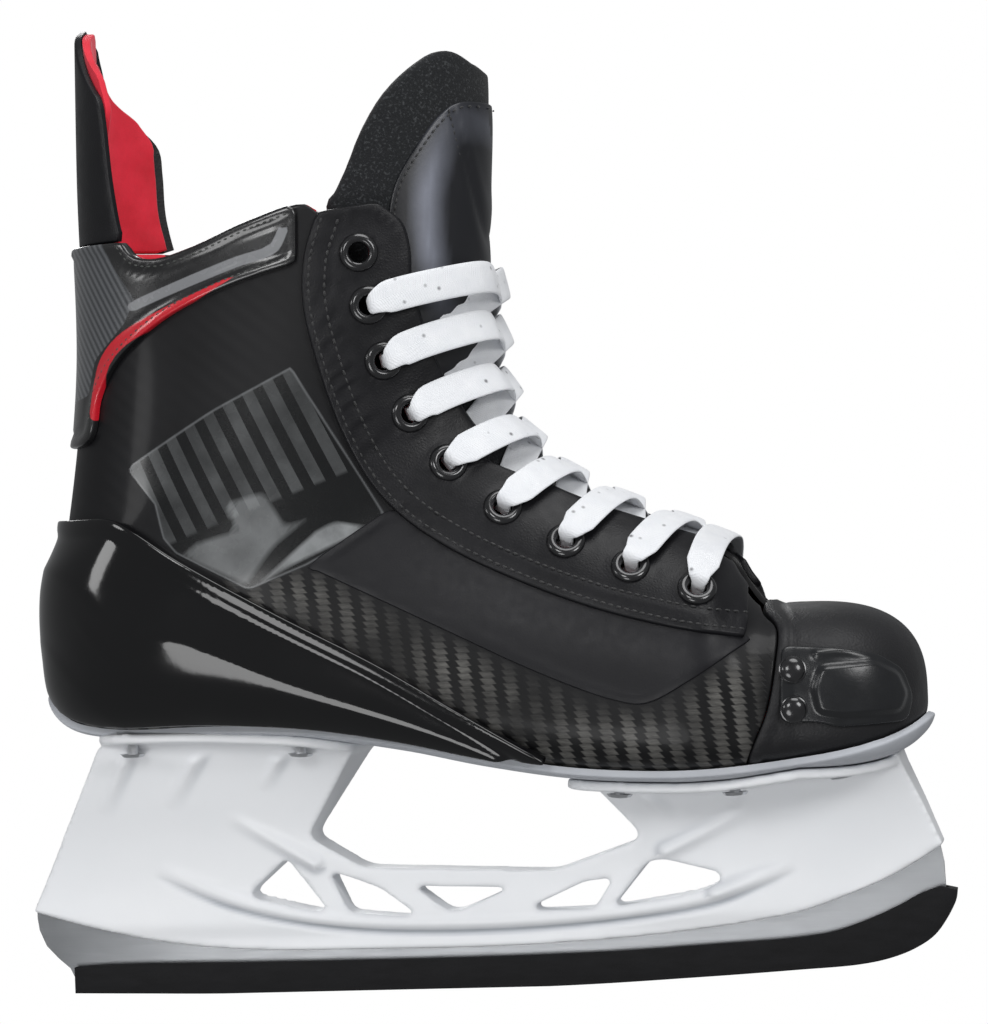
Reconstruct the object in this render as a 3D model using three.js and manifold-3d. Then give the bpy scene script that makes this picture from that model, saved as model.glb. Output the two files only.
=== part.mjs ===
// An ice hockey skate for the right foot: a lasted boot on a plastic blade holder, with a steel
// runner that stands in a slip-on edge guard. Millimetres, +X to the toe, -Y to the outer side of
// the foot, +Z up. The guard stands on Z = 0, and the origin is below the middle of the skate.
// The left skate is this one mirrored in Y.

import * as THREE from "three";
import { mergeVertices } from "three/addons/utils/BufferGeometryUtils.js";
import Module from "manifold-3d";

const wasm = await Module();
wasm.setup();

// ---- overall sizes
const skateLength = 316; // heel of the runner to the nose of the guard
const skateHeight = 332; // floor to the tip of the tendon guard
const bootWidth = 101; // over the ball of the foot

// ---- walls and layers of the boot, each laid on the one before
const clearance = 0.3; // between any two pieces that touch
const shellWall = 2.4; // quarters and toe cap
const overlayWall = 2; // facings, collar band, toe bumpers
const heelCupWall = 3;
const linerWall = 4;
const boardWall = 2;
const footbedWall = 4;
const outsoleWall = 2.4;
const tongueWall = 6;
const laceGap = 4; // between the quarters and the tongue
const tongueShellWall = 1.2;

// ---- holder, runner and guard
const runnerWall = 3;
const slotClearance = 0.3; // on each side of the runner
const runnerDepth = 7; // how far the runner stands in the holder's slot
const holderFoot = 4.9; // half the width of the holder at its lower edge
const holderTop = 21; // half the width of the towers below the flanges
const towerWall = 3.5;
const flangeWall = 3.4;
const guardWall = 3.2;
const guardFloor = 3.2;

// ---- fasteners, laces and eyelets
const boltRadius = 2.5;
const boltHeadRadius = 4.5;
const boltHeadHeight = 4;
const nutRadius = 5;
const nutLength = 9;
const nutHeight = 38; // of the nut's middle above the floor
const boltTop = 62; // of the bolt's head above the floor
const driveDepth = 2; // of the socket in the bolt's head
const rivetHead = 4.4;
const rivetShank = 1.8;
const rivetDome = 1.5;
const spotFaceDepth = 4; // cut above a rivet's seat, so that its head sits flat
const eyeletFlange = 6.5;
const eyeletBarrel = 4.2;
const eyeletHole = 3.4;
const laceWidth = 9;
const laceWall = 1.2;
const tongueHinge = [12.5, 268]; // side view, where the flap folds forward
const tendonHinge = [-137, 256]; // side view, where the tendon guard bends back
const tendonLinerWall = 3;
const tendonLinerDrop = 3; // of the pad's edge below the guard's

// The outlines below are drawn for a skate of these sizes, and follow the overall sizes.
const drawn = { length: 316, height: 332, width: 101 };
const alongX = (x) => (x * skateLength) / drawn.length;
const acrossY = (y) => (y * bootWidth) / drawn.width;
const upZ = (z) => (z * skateHeight) / drawn.height;
const raise = (points, dz) => points.map(([x, z]) => [x, z + dz]);
const sideView = (points) => points.map(([x, z]) => [alongX(x), upZ(z)]);
const far = 200; // beyond every piece

// ---- solids

function toSolid(geometry) {
  const bare = geometry.clone();
  bare.deleteAttribute("normal");
  bare.deleteAttribute("uv");
  const merged = mergeVertices(bare, 1e-4);
  return new wasm.Manifold(
    new wasm.Mesh({
      numProp: 3,
      vertProperties: merged.attributes.position.array,
      triVerts: new Uint32Array(merged.index.array),
    }),
  );
}

function toGeometry(solid) {
  const mesh = solid.getMesh();
  return new THREE.BufferGeometry()
    .setAttribute("position", new THREE.BufferAttribute(mesh.vertProperties, 3))
    .setIndex(new THREE.BufferAttribute(mesh.triVerts, 1));
}

// A closed skin over rings of points that all have the same count, with a fan at each end.
function skin(rings) {
  const count = rings[0].length;
  const middles = [rings[0], rings.at(-1)].map((ring) =>
    ring.reduce((sum, p) => sum.add(p), new THREE.Vector3()).divideScalar(count),
  );
  const vertices = [...rings.flat(), ...middles].flatMap((p) => [p.x, p.y, p.z]);
  const faces = [];
  for (let i = 0; i < count; i++) {
    const next = (i + 1) % count;
    for (let r = 0; r + 1 < rings.length; r++) {
      const [a, b] = [r * count + i, r * count + next];
      faces.push(a, b, b + count, a, b + count, a + count);
    }
    const last = (rings.length - 1) * count;
    faces.push(rings.length * count, next, i);
    faces.push(rings.length * count + 1, last + i, last + next);
  }
  return toSolid(
    new THREE.BufferGeometry()
      .setAttribute("position", new THREE.Float32BufferAttribute(vertices, 3))
      .setIndex(faces),
  );
}

const toShape = (points) => new THREE.Shape(points.map(([x, y]) => new THREE.Vector2(x, y)));
const turned = new THREE.Matrix4();

// A side-view outline (x, z) drawn out across the skate from y0 to y1.
function acrossPrism(outline, y0, y1) {
  const geometry = new THREE.ExtrudeGeometry(toShape(outline), {
    depth: y1 - y0,
    bevelEnabled: false,
  });
  turned.makeBasis(
    new THREE.Vector3(1, 0, 0),
    new THREE.Vector3(0, 0, 1),
    new THREE.Vector3(0, -1, 0),
  );
  return toSolid(geometry.applyMatrix4(turned).translate(0, y1, 0));
}

// A plan-view outline (x, y) drawn up from z0 to z1.
function upPrism(outline, z0, z1) {
  const geometry = new THREE.ExtrudeGeometry(toShape(outline), {
    depth: z1 - z0,
    bevelEnabled: false,
  });
  return toSolid(geometry.translate(0, 0, z0));
}

// A front-view outline (y, z) drawn along the skate from x0 to x1.
function alongPrism(outline, x0, x1) {
  const geometry = new THREE.ExtrudeGeometry(toShape(outline), {
    depth: x1 - x0,
    bevelEnabled: false,
  });
  turned.makeBasis(
    new THREE.Vector3(0, 1, 0),
    new THREE.Vector3(0, 0, 1),
    new THREE.Vector3(1, 0, 0),
  );
  return toSolid(geometry.applyMatrix4(turned).translate(x0, 0, 0));
}

// A turned piece: its profile (r, h) round an axis through `at`, with h along `axis`.
function turnedPiece(profile, at, axis, segments) {
  const points = profile.map(([r, h]) => new THREE.Vector2(r, h));
  const geometry = new THREE.LatheGeometry(points, segments);
  const turn = new THREE.Quaternion().setFromUnitVectors(new THREE.Vector3(0, 1, 0), axis);
  return toSolid(geometry.applyQuaternion(turn).translate(at.x, at.y, at.z));
}

const rod = (radius, low, high) => [[0, low], [radius, low], [radius, high], [0, high]];

function smooth(points, count, closed = false) {
  const path = points.map(([x, y]) => new THREE.Vector3(x, y, 0));
  const curve = new THREE.CatmullRomCurve3(path, closed, "centripetal");
  return curve.getPoints(count).map((p) => [p.x, p.y]);
}

// An outline with each corner rounded by a quadratic curve.
function rounded(points, radius, steps = 3) {
  return points.flatMap((point, i) => {
    const corner = new THREE.Vector2(...point);
    const [before, after] = [points.at(i - 1), points[(i + 1) % points.length]].map((q) => {
      const side = new THREE.Vector2(...q).sub(corner);
      return side.setLength(Math.min(radius, side.length() / 2.1)).add(corner);
    });
    const bend = new THREE.QuadraticBezierCurve(before, corner, after);
    return bend.getPoints(steps).map((p) => [p.x, p.y]);
  });
}

// ---- the boot's base surface, from which every layer is offset
// Each station is a section through the boot, square to its middle line, from the sole or heel
// ("keel") to the instep or shin ("crown"): side-view points, half-widths on the outer and inner
// side, the share of its height where it is widest, and how square it is at keel and crown.
const stations = [
  { crown: [110, 126.5], keel: [110, 74.8], half: [46, 47.5], widest: 0.4, square: [5, 2.7] },
  { crown: [99, 127.5], keel: [92, 72.3], half: [48.5, 49.5], widest: 0.4, square: [5, 2.5] },
  { crown: [92.5, 136], keel: [80, 71.5], half: [50.5, 50.4], widest: 0.38, square: [5, 2.3] },
  { crown: [85, 148], keel: [66, 71.4], half: [51.3, 50.5], widest: 0.37, square: [5, 2.2] },
  { crown: [66, 157], keel: [36, 73.2], half: [48.5, 50], widest: 0.38, square: [5, 2.1] },
  { crown: [48, 165], keel: [6, 78], half: [45.5, 47], widest: 0.39, square: [5, 2.1] },
  { crown: [34, 173], keel: [-22, 84], half: [43, 43.5], widest: 0.4, square: [5, 2.1] },
  { crown: [24.5, 181], keel: [-54, 88.8], half: [42, 41.5], widest: 0.41, square: [5, 2.1] },
  { crown: [18.5, 189], keel: [-90, 90.3], half: [42.5, 41.5], widest: 0.42, square: [4.5, 2.1] },
  { crown: [15, 197], keel: [-120, 90.3], half: [43.5, 43], widest: 0.42, square: [4, 2.1] },
  { crown: [13, 204], keel: [-138, 93.6], half: [44.5, 44.5], widest: 0.43, square: [3.2, 2.1] },
  { crown: [12, 211], keel: [-147, 103], half: [45, 45.5], widest: 0.44, square: [2.6, 2.1] },
  { crown: [11.5, 219], keel: [-148.5, 119], half: [45.5, 46], widest: 0.45, square: [2.4, 2.1] },
  { crown: [11.5, 229], keel: [-146.5, 138], half: [45.5, 46], widest: 0.46, square: [2.4, 2.1] },
  { crown: [12, 241], keel: [-142, 162], half: [45, 45], widest: 0.48, square: [2.4, 2.1] },
  { crown: [14, 270], keel: [-136, 216], half: [43.5, 43.5], widest: 0.5, square: [2.4, 2.1] },
  { crown: [17, 308], keel: [-134.2, 280], half: [44, 44], widest: 0.5, square: [2.4, 2.1] },
  { crown: [20, 354], keel: [-131, 350], half: [44, 44], widest: 0.5, square: [2.4, 2.1] },
];
const toeLength = 40.5; // from the first station to the tip
const toeSquare = 2.7; // how square the toe is, in plan and in side view
const toeSteps = 4;
const sideSteps = [3, 5]; // points from keel to widest, and from there to crown

const blendOf = (a, b, c, d, t) => {
  const spline = (p, q, r, s) =>
    0.5 * (2 * q + (r - p) * t + (2 * p - 5 * q + 4 * r - s) * t * t + (3 * q - p - 3 * r + s) * t ** 3);
  const pair = (key) => [0, 1].map((i) => spline(a[key][i], b[key][i], c[key][i], d[key][i]));
  return {
    crown: pair("crown"),
    keel: pair("keel"),
    half: pair("half"),
    square: pair("square"),
    widest: spline(a.widest, b.widest, c.widest, d.widest),
  };
};

// The section at s, from 0 at the start of the toe to 1 at the top, moved out by `offset`.
function sectionAt(s, offset) {
  const place = Math.min(Math.max(s, 0), 1) * (stations.length - 1);
  const i = Math.min(Math.floor(place), stations.length - 2);
  const pick = (k) => stations[Math.min(Math.max(k, 0), stations.length - 1)];
  const raw = blendOf(pick(i - 1), pick(i), pick(i + 1), pick(i + 2), place - i);
  const crown = new THREE.Vector2(...sideView([raw.crown])[0]);
  const keel = new THREE.Vector2(...sideView([raw.keel])[0]);
  const out = crown.clone().sub(keel).setLength(offset);
  crown.add(out);
  keel.sub(out);
  return { ...raw, crown, keel, half: raw.half.map((w) => acrossY(w) + offset) };
}

// A point of a section: `across` runs from -1 (keel) through 0 (widest) to 1 (crown).
function pointOf(section, across, side) {
  const { crown, keel, widest, square, half } = section;
  const angle = (Math.abs(across) * Math.PI) / 2;
  const power = 2 / square[across < 0 ? 0 : 1];
  const height = Math.sin(angle) ** power;
  const share = across < 0 ? widest * (1 - height) : widest + (1 - widest) * height;
  const y = half[side < 0 ? 0 : 1] * Math.max(Math.cos(angle), 0) ** power * side;
  return new THREE.Vector3(
    keel.x + (crown.x - keel.x) * share,
    y,
    keel.y + (crown.y - keel.y) * share,
  );
}

function ringOf(section) {
  const [low, high] = sideSteps;
  const stepsUp = [];
  for (let i = 0; i < low; i++) stepsUp.push(-1 + i / low);
  for (let i = 0; i < high; i++) stepsUp.push(i / high);
  const outer = stepsUp.map((across) => pointOf(section, across, -1));
  const inner = stepsUp.slice(1).map((across) => pointOf(section, across, 1));
  return [...outer, pointOf(section, 1, 1), ...inner.reverse()];
}

const offsets = new Map();
function base(offset) {
  if (offsets.has(offset)) return offsets.get(offset);
  const rings = [];
  const first = sectionAt(0, offset);
  const middle = new THREE.Vector3(first.keel.x, 0, (first.keel.y * 0.62 + first.crown.y * 0.38));
  for (let i = 0; i < toeSteps; i++) {
    const angle = ((i + 0.35) / (toeSteps + 0.35)) * (Math.PI / 2);
    const grow = Math.sin(angle) ** (2 / toeSquare);
    const reach = Math.cos(angle) ** (2 / toeSquare) * (alongX(toeLength) + offset);
    rings.push(
      ringOf(first).map((p) => {
        const q = p.clone().sub(middle).multiplyScalar(grow).add(middle);
        return q.setX(p.x + reach);
      }),
    );
  }
  const count = stations.length - 1;
  for (let i = 0; i <= count; i++) rings.push(ringOf(sectionAt(i / count, offset)));
  const solid = skin(rings);
  offsets.set(offset, solid);
  return solid;
}

const layer = (inside, outside) => base(outside).subtract(base(inside));

// Where the side-view point (x, z) lies on the surface: the section and how far across it.
function locate([x, z], offset) {
  let [low, high] = [0, 1];
  const ahead = (s) => {
    const { crown, keel } = sectionAt(s, offset);
    const line = crown.clone().sub(keel);
    return line.x * (z - keel.y) - line.y * (x - keel.x) > 0;
  };
  for (let i = 0; i < 40; i++) {
    const s = (low + high) / 2;
    if (ahead(s)) low = s;
    else high = s;
  }
  const { crown, keel, widest, square } = sectionAt(low, offset);
  const line = crown.clone().sub(keel);
  const share = new THREE.Vector2(x, z).sub(keel).dot(line) / line.lengthSq();
  const height = Math.min(Math.abs(share - widest) / (share < widest ? widest : 1 - widest), 1);
  const angle = Math.asin(height ** (square[share < widest ? 0 : 1] / 2));
  return { s: low, across: (Math.sign(share - widest) * angle * 2) / Math.PI };
}

// The surface point above a side-view point on one side (-1 outer, 1 inner), and its normal.
function onSide(point, offset, side) {
  const at = ([x, z]) => {
    const { s, across } = locate([x, z], offset);
    return pointOf(sectionAt(s, offset), across, side);
  };
  const step = 2;
  const [x, z] = point;
  const dx = at([x + step, z]).sub(at([x - step, z]));
  const dz = at([x, z + step]).sub(at([x, z - step]));
  const normal = dx.cross(dz).normalize();
  if (normal.y * side < 0) normal.negate();
  return { at: at(point), normal };
}

// ---- side-view lines of the boot

const keelLine = sideView([
  [-160, 128], [-150, 104], [-141, 94.5], [-126, 90.6], [-90, 90.3], [-54, 88.8], [-22, 84],
  [6, 78], [36, 73.2], [66, 71.4], [92, 72.3], [128, 77.2], [148, 84], [160, 93],
]);
const under = (height) => [
  ...raise(keelLine, height),
  [far, 0],
  [-far, 0],
];
const above = (height) => [...raise(keelLine, height), [far, far * 2], [-far, far * 2]];

const throatEdge = smooth(
  sideView([[-22, 264.5], [-14.5, 258], [-12.2, 249], [-12, 238], [-9, 224], [-4.5, 209], [3, 194],
    [12, 182], [20, 175]]),
  10,
);
const throatFront = sideView([[86, 144.5], [91.5, 140], [94.6, 134], [95.6, 126], [95.4, 118]]);
const facingRear = smooth(
  sideView([[94.5, 116.8], [73, 120.5], [47, 127.5], [21, 137.5], [-2, 149], [-18, 160.5],
    [-28, 172], [-36, 188], [-43, 210], [-47.5, 232], [-46.5, 248], [-42, 261.5]]),
  13,
);
const collarTop = sideView([[-42, 262], [-46, 265], [-64, 260.5], [-85, 252.5], [-98, 249.5],
  [-106, 251], [-110, 255.9]]);
const tongueRear = smooth(
  sideView([[-40.5, 266.5], [-38.5, 252], [-37.5, 236], [-34, 218], [-27.5, 200], [-17.5, 183.5],
    [-2, 167.5], [18, 153], [46, 140], [73, 130], [97, 115.5]]),
  10,
);
const toeSeam = sideView([[90, 66], [96, 80], [101.5, 93], [104.3, 107], [104.6, 119], [100, 124],
  [98.5, 128], [98.5, 140]]);
const shift = (points, dx, dz = 0) => points.map(([x, z]) => [x + dx, z + dz]);

const throatHalf = 21; // half the gap between the facings over the instep
const throatGap = acrossPrism(
  [...throatEdge, ...sideView([[60, 175], [60, 300], [-22, 300]])],
  -far,
  far,
).add(
  upPrism(
    [
      [alongX(8), -throatHalf - 6], [alongX(30), -throatHalf - 1], [alongX(60), -throatHalf],
      [alongX(112), -throatHalf], [alongX(112), throatHalf], [alongX(60), throatHalf],
      [alongX(30), throatHalf + 1], [alongX(8), throatHalf + 6],
    ],
    upZ(110),
    upZ(200),
  ),
);
const half = { outer: [-far, -clearance / 2, -1], inner: [clearance / 2, far, 1] };

// The opening in the underside of the lasted upper, which the lasting board closes.
const bottomOpening = upPrism(
  rounded([[alongX(-120), -21], [alongX(118), -25], [alongX(118), 25], [alongX(-120), 21]], 20, 2),
  upZ(60),
  upZ(96),
);

// ---- fasteners of the boot, which also cut their holes

const eyeletPlaces = sideView([[-28.5, 248], [-26, 230.5], [-22, 212], [-14.5, 194.3],
  [-2.8, 177.5], [15, 162], [36, 150], [57.5, 141], [79.5, 133]]);
const facingOut = clearance + overlayWall;
const eyeletSeat = clearance + 0.2; // the flange bridges the curve of the facing
const eyeletTop = eyeletSeat + 1.3;
const eyelets = ["outer", "inner"].flatMap((name) =>
  eyeletPlaces.map((place, i) => {
    const [, , side] = half[name];
    const { at, normal } = onSide(place, facingOut, side);
    const back = -facingOut - shellWall - clearance;
    const profile = [
      [eyeletHole, back], [eyeletBarrel, back], [eyeletBarrel, eyeletSeat],
      [eyeletFlange, eyeletSeat], [eyeletHole, eyeletTop],
      [eyeletHole, back],
    ];
    const room = [
      [eyeletHole - clearance, back], [eyeletBarrel, back], [eyeletFlange, eyeletSeat],
      [eyeletHole - clearance, eyeletTop + clearance], [eyeletHole - clearance, back],
    ];
    return {
      name: `eyelet_${name}_${i + 1}`,
      hole: turnedPiece(rod(eyeletBarrel + clearance, back - 2, 4), at, normal, 8),
      room: turnedPiece(room, at, normal, 8),
      solid: turnedPiece(profile, at, normal, 8),
    };
  }),
);

function rivet(name, at, axis, depth) {
  const head = [
    [0, -depth], [rivetShank, -depth], [rivetShank, clearance], [rivetHead, clearance],
    [rivetHead * 0.8, clearance + rivetDome * 0.7], [0, clearance + rivetDome],
  ];
  const spotFace = rivetHead + clearance;
  const bore = rivetShank + clearance;
  const hole = turnedPiece(
    [[0, -depth - 1], [bore, -depth - 1], [bore, 0], [spotFace, 0],
      [spotFace, spotFaceDepth], [0, spotFaceDepth]],
    at, axis, 8,
  );
  return { name, hole, solid: turnedPiece(head, at, axis, 8) };
}

const bumperOut = clearance + overlayWall;
const toeRivets = ["outer", "inner"].flatMap((name) =>
  sideView([[110.5, 105.5], [110, 92.5]]).map((place, i) => {
    const { at, normal } = onSide(place, bumperOut - clearance, half[name][2]);
    return rivet(`toe_rivet_${name}_${i + 1}`, at, normal, bumperOut + shellWall);
  }),
);

const outsoleOut = clearance + outsoleWall;
const flangeIn = outsoleOut + clearance;
const flangeOut = flangeIn + flangeWall;
const solePlaces = {
  front: [[50, -29], [50, 29], [88, -32], [88, 32], [122, -28], [122, 28]],
  rear: [[-116, -25], [-116, 25], [-58, -25], [-58, 25]],
};
// A sole rivet stands square to the boot's bottom line, with its head under the holder's flange.
function soleRivet(name, [x, y]) {
  const place = alongX(x);
  const keelAt = (px) => {
    const i = Math.max(1, keelLine.findIndex(([kx]) => kx > px));
    const [a, b] = [keelLine[i - 1], keelLine[i]];
    return a[1] + ((b[1] - a[1]) * (px - a[0])) / (b[0] - a[0]);
  };
  const slope = (keelAt(place + 4) - keelAt(place - 4)) / 8;
  const axis = new THREE.Vector3(slope, 0, -1).normalize();
  const at = new THREE.Vector3(place, acrossY(y), keelAt(place)).addScaledVector(axis, flangeOut);
  return rivet(name, at, axis, flangeOut + shellWall + boardWall - clearance);
}
const soleRivets = Object.entries(solePlaces).flatMap(([name, places]) =>
  places.map((place, i) => soleRivet(`${name}_sole_rivet_${i + 1}`, place)),
);

const cutAll = (solid, pieces) => pieces.reduce((rest, piece) => rest.subtract(piece.hole), solid);
const panel = (inside, outside, outline, [low, high] = [-far, far]) =>
  layer(inside, outside).intersect(acrossPrism(outline, low, high));

// ---- the boot
// How far each sheet is trimmed above the bottom line of the boot.
const trim = { heelCup: 2.4, liner: 12, board: 8, footbed: 11, outsole: 1.8, holder: 2 };
const linerSetback = 3; // of the liner's front edge behind the tongue

const quarterOutline = [
  ...shift(toeSeam, -clearance).slice(0, -1),
  ...sideView([[98, 200], [60, 300], [-22, 300]]),
  ...throatEdge.slice(0, 1),
  ...collarTop,
  ...sideView([[-180, 255.9], [-180, 60]]),
];
const quarter = (range) =>
  cutAll(
    panel(-shellWall, 0, quarterOutline, range).subtract(throatGap).subtract(bottomOpening),
    [...eyelets, ...soleRivets],
  );

const facingOutline = [...throatFront, ...facingRear, ...collarTop.slice(0, 1), ...throatEdge,
  ...sideView([[40, 200], [86, 170]])];
const facing = (range) =>
  cutAll(panel(clearance, facingOut, facingOutline, range).subtract(throatGap), eyelets);

const heelCupTop = smooth(
  sideView([[34, 74.5], [19, 83.6], [-4, 97.5], [-27, 111.5], [-60, 129.5], [-93, 149], [-108, 159],
    [-116, 163], [-134, 163.5], [-170, 164]]),
  10,
);
const heelCupOut = clearance + heelCupWall;
const heelCup = cutAll(
  panel(clearance, heelCupOut, [...heelCupTop, ...sideView([[-170, 60], [34, 60]])]).subtract(
    acrossPrism(under(trim.heelCup), -far, far),
  ),
  soleRivets,
);

const toeCap = cutAll(
  panel(-shellWall, 0, [...toeSeam, ...sideView([[180, 160], [180, 60]])]).subtract(bottomOpening),
  [...toeRivets, ...soleRivets],
);

const bumperOutline = rounded(
  sideView([[106.5, 114], [105.5, 88.5], [118, 88], [124, 86.2], [147, 87], [149, 95], [146, 104.5],
    [138, 110], [119, 113]]),
  3,
  2,
);
const bumper = (side) => {
  const range = side < 0 ? [-far, -20] : [20, far];
  return cutAll(panel(clearance, bumperOut, bumperOutline, range), toeRivets);
};

const collarBottom = sideView([[-140, 188], [-126, 190], [-121.5, 205], [-114, 216], [-96, 229],
  [-72, 239], [-49, 245.5]]);
const collarBand = panel(clearance, facingOut, [
  ...collarTop.slice(1).map(([x, z]) => [Math.min(x, alongX(-48.5)), z]),
  ...sideView([[-180, 255.9], [-180, 188]]),
  ...collarBottom,
]);

const linerOut = -shellWall - clearance;
const linerIn = linerOut - linerWall;
const linerOutline = [
  ...shift(tongueRear, -linerSetback).reverse(),
  ...collarTop.slice(1),
  ...sideView([[-180, 255.9], [-180, 60]]),
  ...sideView([[95, 60]]),
];
const liner = (range) =>
  cutAll(
    panel(linerIn, linerOut, linerOutline, range).intersect(
      acrossPrism(above(trim.liner), -far, far),
    ),
    eyelets,
  );

const board = cutAll(panel(linerOut - boardWall, linerOut, under(trim.board)), soleRivets);
const footbedOut = linerOut - boardWall - clearance;
const footbed = panel(footbedOut - footbedWall, footbedOut, under(trim.footbed));
const outsole = cutAll(panel(clearance, outsoleOut, under(trim.outsole)), soleRivets);

const tongueOut = -shellWall - laceGap;
const tongueIn = tongueOut - tongueWall;
const flapCut = upZ(tongueHinge[1]) - clearance / 2;
const tongueLower = panel(tongueIn, tongueOut, [
  ...tongueRear,
  ...sideView([[108, 118], [108, 150], [70, 200], [60, 280], [-40, 280]]),
]).subtract(
  acrossPrism([[-far, flapCut], [far, flapCut], [far, far * 2], [-far, far * 2]], -far, far),
);
const flapOutline = smooth(
  sideView([[-37.5, 268.3], [-33, 277], [-27, 290], [-19, 302], [-9, 311], [1, 316], [13, 317.5],
    [30, 318]]),
  12,
);
const flapBottom = flapCut + clearance;
const tongueUpper = panel(tongueIn, tongueOut, [
  ...flapOutline,
  [alongX(30), flapBottom],
  [alongX(-37.5), flapBottom],
]);
const tongueShell = panel(
  tongueOut + clearance,
  tongueOut + clearance + tongueShellWall,
  sideView([[-17.5, 270], [-12, 281], [-4, 293], [2, 299], [30, 300], [30, 270]]),
);

const tendonShape = alongPrism(
  smooth(
    [[-44, 240], [-43, 262], [-41, 280], [-37, 293], [-29, 306], [-20, 318], [-10, 328], [0, 332],
      [10, 328], [20, 318], [29, 306], [37, 293], [41, 280], [43, 262], [44, 240]].map(
      ([y, z]) => [acrossY(y), upZ(z)],
    ),
    16,
  ),
  -far,
  0,
);
const tendonCut = upZ(tendonHinge[1]) + clearance;
const tendonOutline = [
  [-far, tendonCut], [alongX(-109.5), tendonCut],
  ...sideView([[-113, 262], [-114.7, 272], [-115.5, 289], [-119, 303], [-124, 324], [-124, 340],
    [-180, 340]]),
];
const tendonGuard = panel(-shellWall, 0, tendonOutline).intersect(tendonShape);
const tendonLiner = panel(linerOut - tendonLinerWall, linerOut, tendonOutline).intersect(
  tendonShape.translate(0, 0, -tendonLinerDrop),
);

// ---- the lace: a bar between the lowest eyelets, then a criss-cross up to the second pair

const laced = eyeletPlaces.slice(1).reverse();
const barrelIn = -shellWall - laceGap / 2;
const laceRise = [
  [-0.95, barrelIn], [-0.6, -4.8], [-0.4, -4.5], [-0.25, -3.6], [-0.05, -1.6],
  [0.3, 3.8], [0.6, 5.6], [0.95, 6.2],
];
function laceRun(from, to, side, rise) {
  const ends = [from, to].map((place) => locate(place, 0));
  const width = { start: side * (1 - ends[0].across), end: -side * (1 - ends[1].across) };
  return rise.map(([g, offset]) => {
    const t = (g + 1) / 2;
    const s = ends[0].s + (ends[1].s - ends[0].s) * t;
    const edge = g < 0 ? -width.start * g : width.end * g;
    const section = sectionAt(s, offset);
    return pointOf(section, 1 - Math.abs(edge), Math.sign(edge) || 1);
  });
}
function eyeletPass(place, side, offsetsIn) {
  const { at, normal } = onSide(place, 0, side);
  return offsetsIn.map((offset) => at.clone().addScaledVector(normal, offset));
}
function ribbon(points, up) {
  const path = new THREE.CatmullRomCurve3(points, false, "centripetal");
  const last = points.length - 1;
  const rings = points.map((at, i) => {
    const along = path.getTangent(i / last);
    const fromEnd = Math.min(at.distanceTo(points[0]), at.distanceTo(points[last]));
    const width = Math.min(laceWidth, eyeletHole + Math.max(fromEnd - 5, 0) * 0.7);
    const wide = up.clone().addScaledVector(along, -up.dot(along)).setLength(width / 2);
    const thick = along.clone().cross(wide).setLength(laceWall / 2);
    return [[1, 1], [-1, 1], [-1, -1], [1, -1]].map(([w, t]) =>
      at.clone().addScaledVector(wide, w).addScaledVector(thick, t));
  });
  const solid = skin(rings);
  return solid.volume() < 0 ? skin(rings.map((ring) => ring.reverse())) : solid;
}
const lacePasses = [];
for (let i = 0; i + 1 < laced.length; i++) {
  const up = new THREE.Vector3(laced[i + 1][0] - laced[i][0], 0, laced[i + 1][1] - laced[i][1]);
  for (const side of [-1, 1]) {
    lacePasses.push(ribbon([
      ...eyeletPass(laced[i], side, [0, -3.2]),
      ...laceRun(laced[i], laced[i + 1], side, laceRise),
      ...eyeletPass(laced[i + 1], -side, [5, 0]),
    ], up.normalize()));
  }
}
const barRise = laceRise.filter(([g]) => g >= 0);
const barUp = new THREE.Vector3(-0.9, 0, 0.4).normalize();
lacePasses.push(ribbon([
  ...eyeletPass(laced[0], -1, [0, 5]),
  ...barRise.slice(1).reverse().map(([g, offset]) =>
    laceRun(laced[0], laced[0], 1, [[g, offset]])[0]),
  ...laceRun(laced[0], laced[0], -1, barRise),
  ...eyeletPass(laced[0], 1, [5, 0]),
], barUp));
// The faces of the panels and the tongue are flat facets, so the lace is trimmed clear of them.
const aroundFacings = cutAll(
  layer(-shellWall - clearance, facingOut + clearance / 2).subtract(
    throatGap.translate(clearance, 0, 0),
  ),
  eyelets,
);
const lace = eyelets.reduce(
  (rest, { room }) => rest.subtract(room),
  lacePasses
    .reduce((sum, pass) => sum.add(pass))
    .subtract(base(tongueOut + clearance))
    .subtract(aroundFacings),
);

// ---- holder, runner and guard

const holderLower = smooth(
  sideView([[154.2, 44.5], [139, 35.6], [122, 28.4], [105, 23], [71, 17.9], [44, 15.6], [3, 13.8],
    [-32, 13.8], [-84, 14.8], [-112, 17.9], [-136, 23.3], [-150.5, 27.3], [-158, 29.7]]),
  11,
);
const bigWindow = rounded(
  sideView([[-35, 91], [-40.3, 84], [-60.1, 53.1], [-41.5, 42], [23.4, 39.2], [51.8, 48.5],
    [53.2, 51.5], [40, 66.7], [30, 76], [0, 84]]),
  4,
  2,
);
const trussWindows = [
  [[-81.3, 34.6], [-68.2, 46], [-55.3, 28.2], [-58, 27.2], [-80, 32.6]],
  [[-53.6, 40.2], [-49.9, 40], [-36.1, 34.6], [-25.2, 26], [-27.2, 24.6], [-47.5, 27]],
  [[-25.1, 35.2], [8.5, 33.8], [-9.6, 26.5], [-13.7, 26.7]],
  [[12.3, 25.9], [33.5, 35.2], [43.4, 36.2], [36.5, 26]],
  [[42.5, 26.3], [55.5, 41.6], [61.3, 42], [79.5, 37], [79.3, 33.4], [71.3, 30.6]],
].map((points) => rounded(sideView(points), 2.5, 1));

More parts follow.
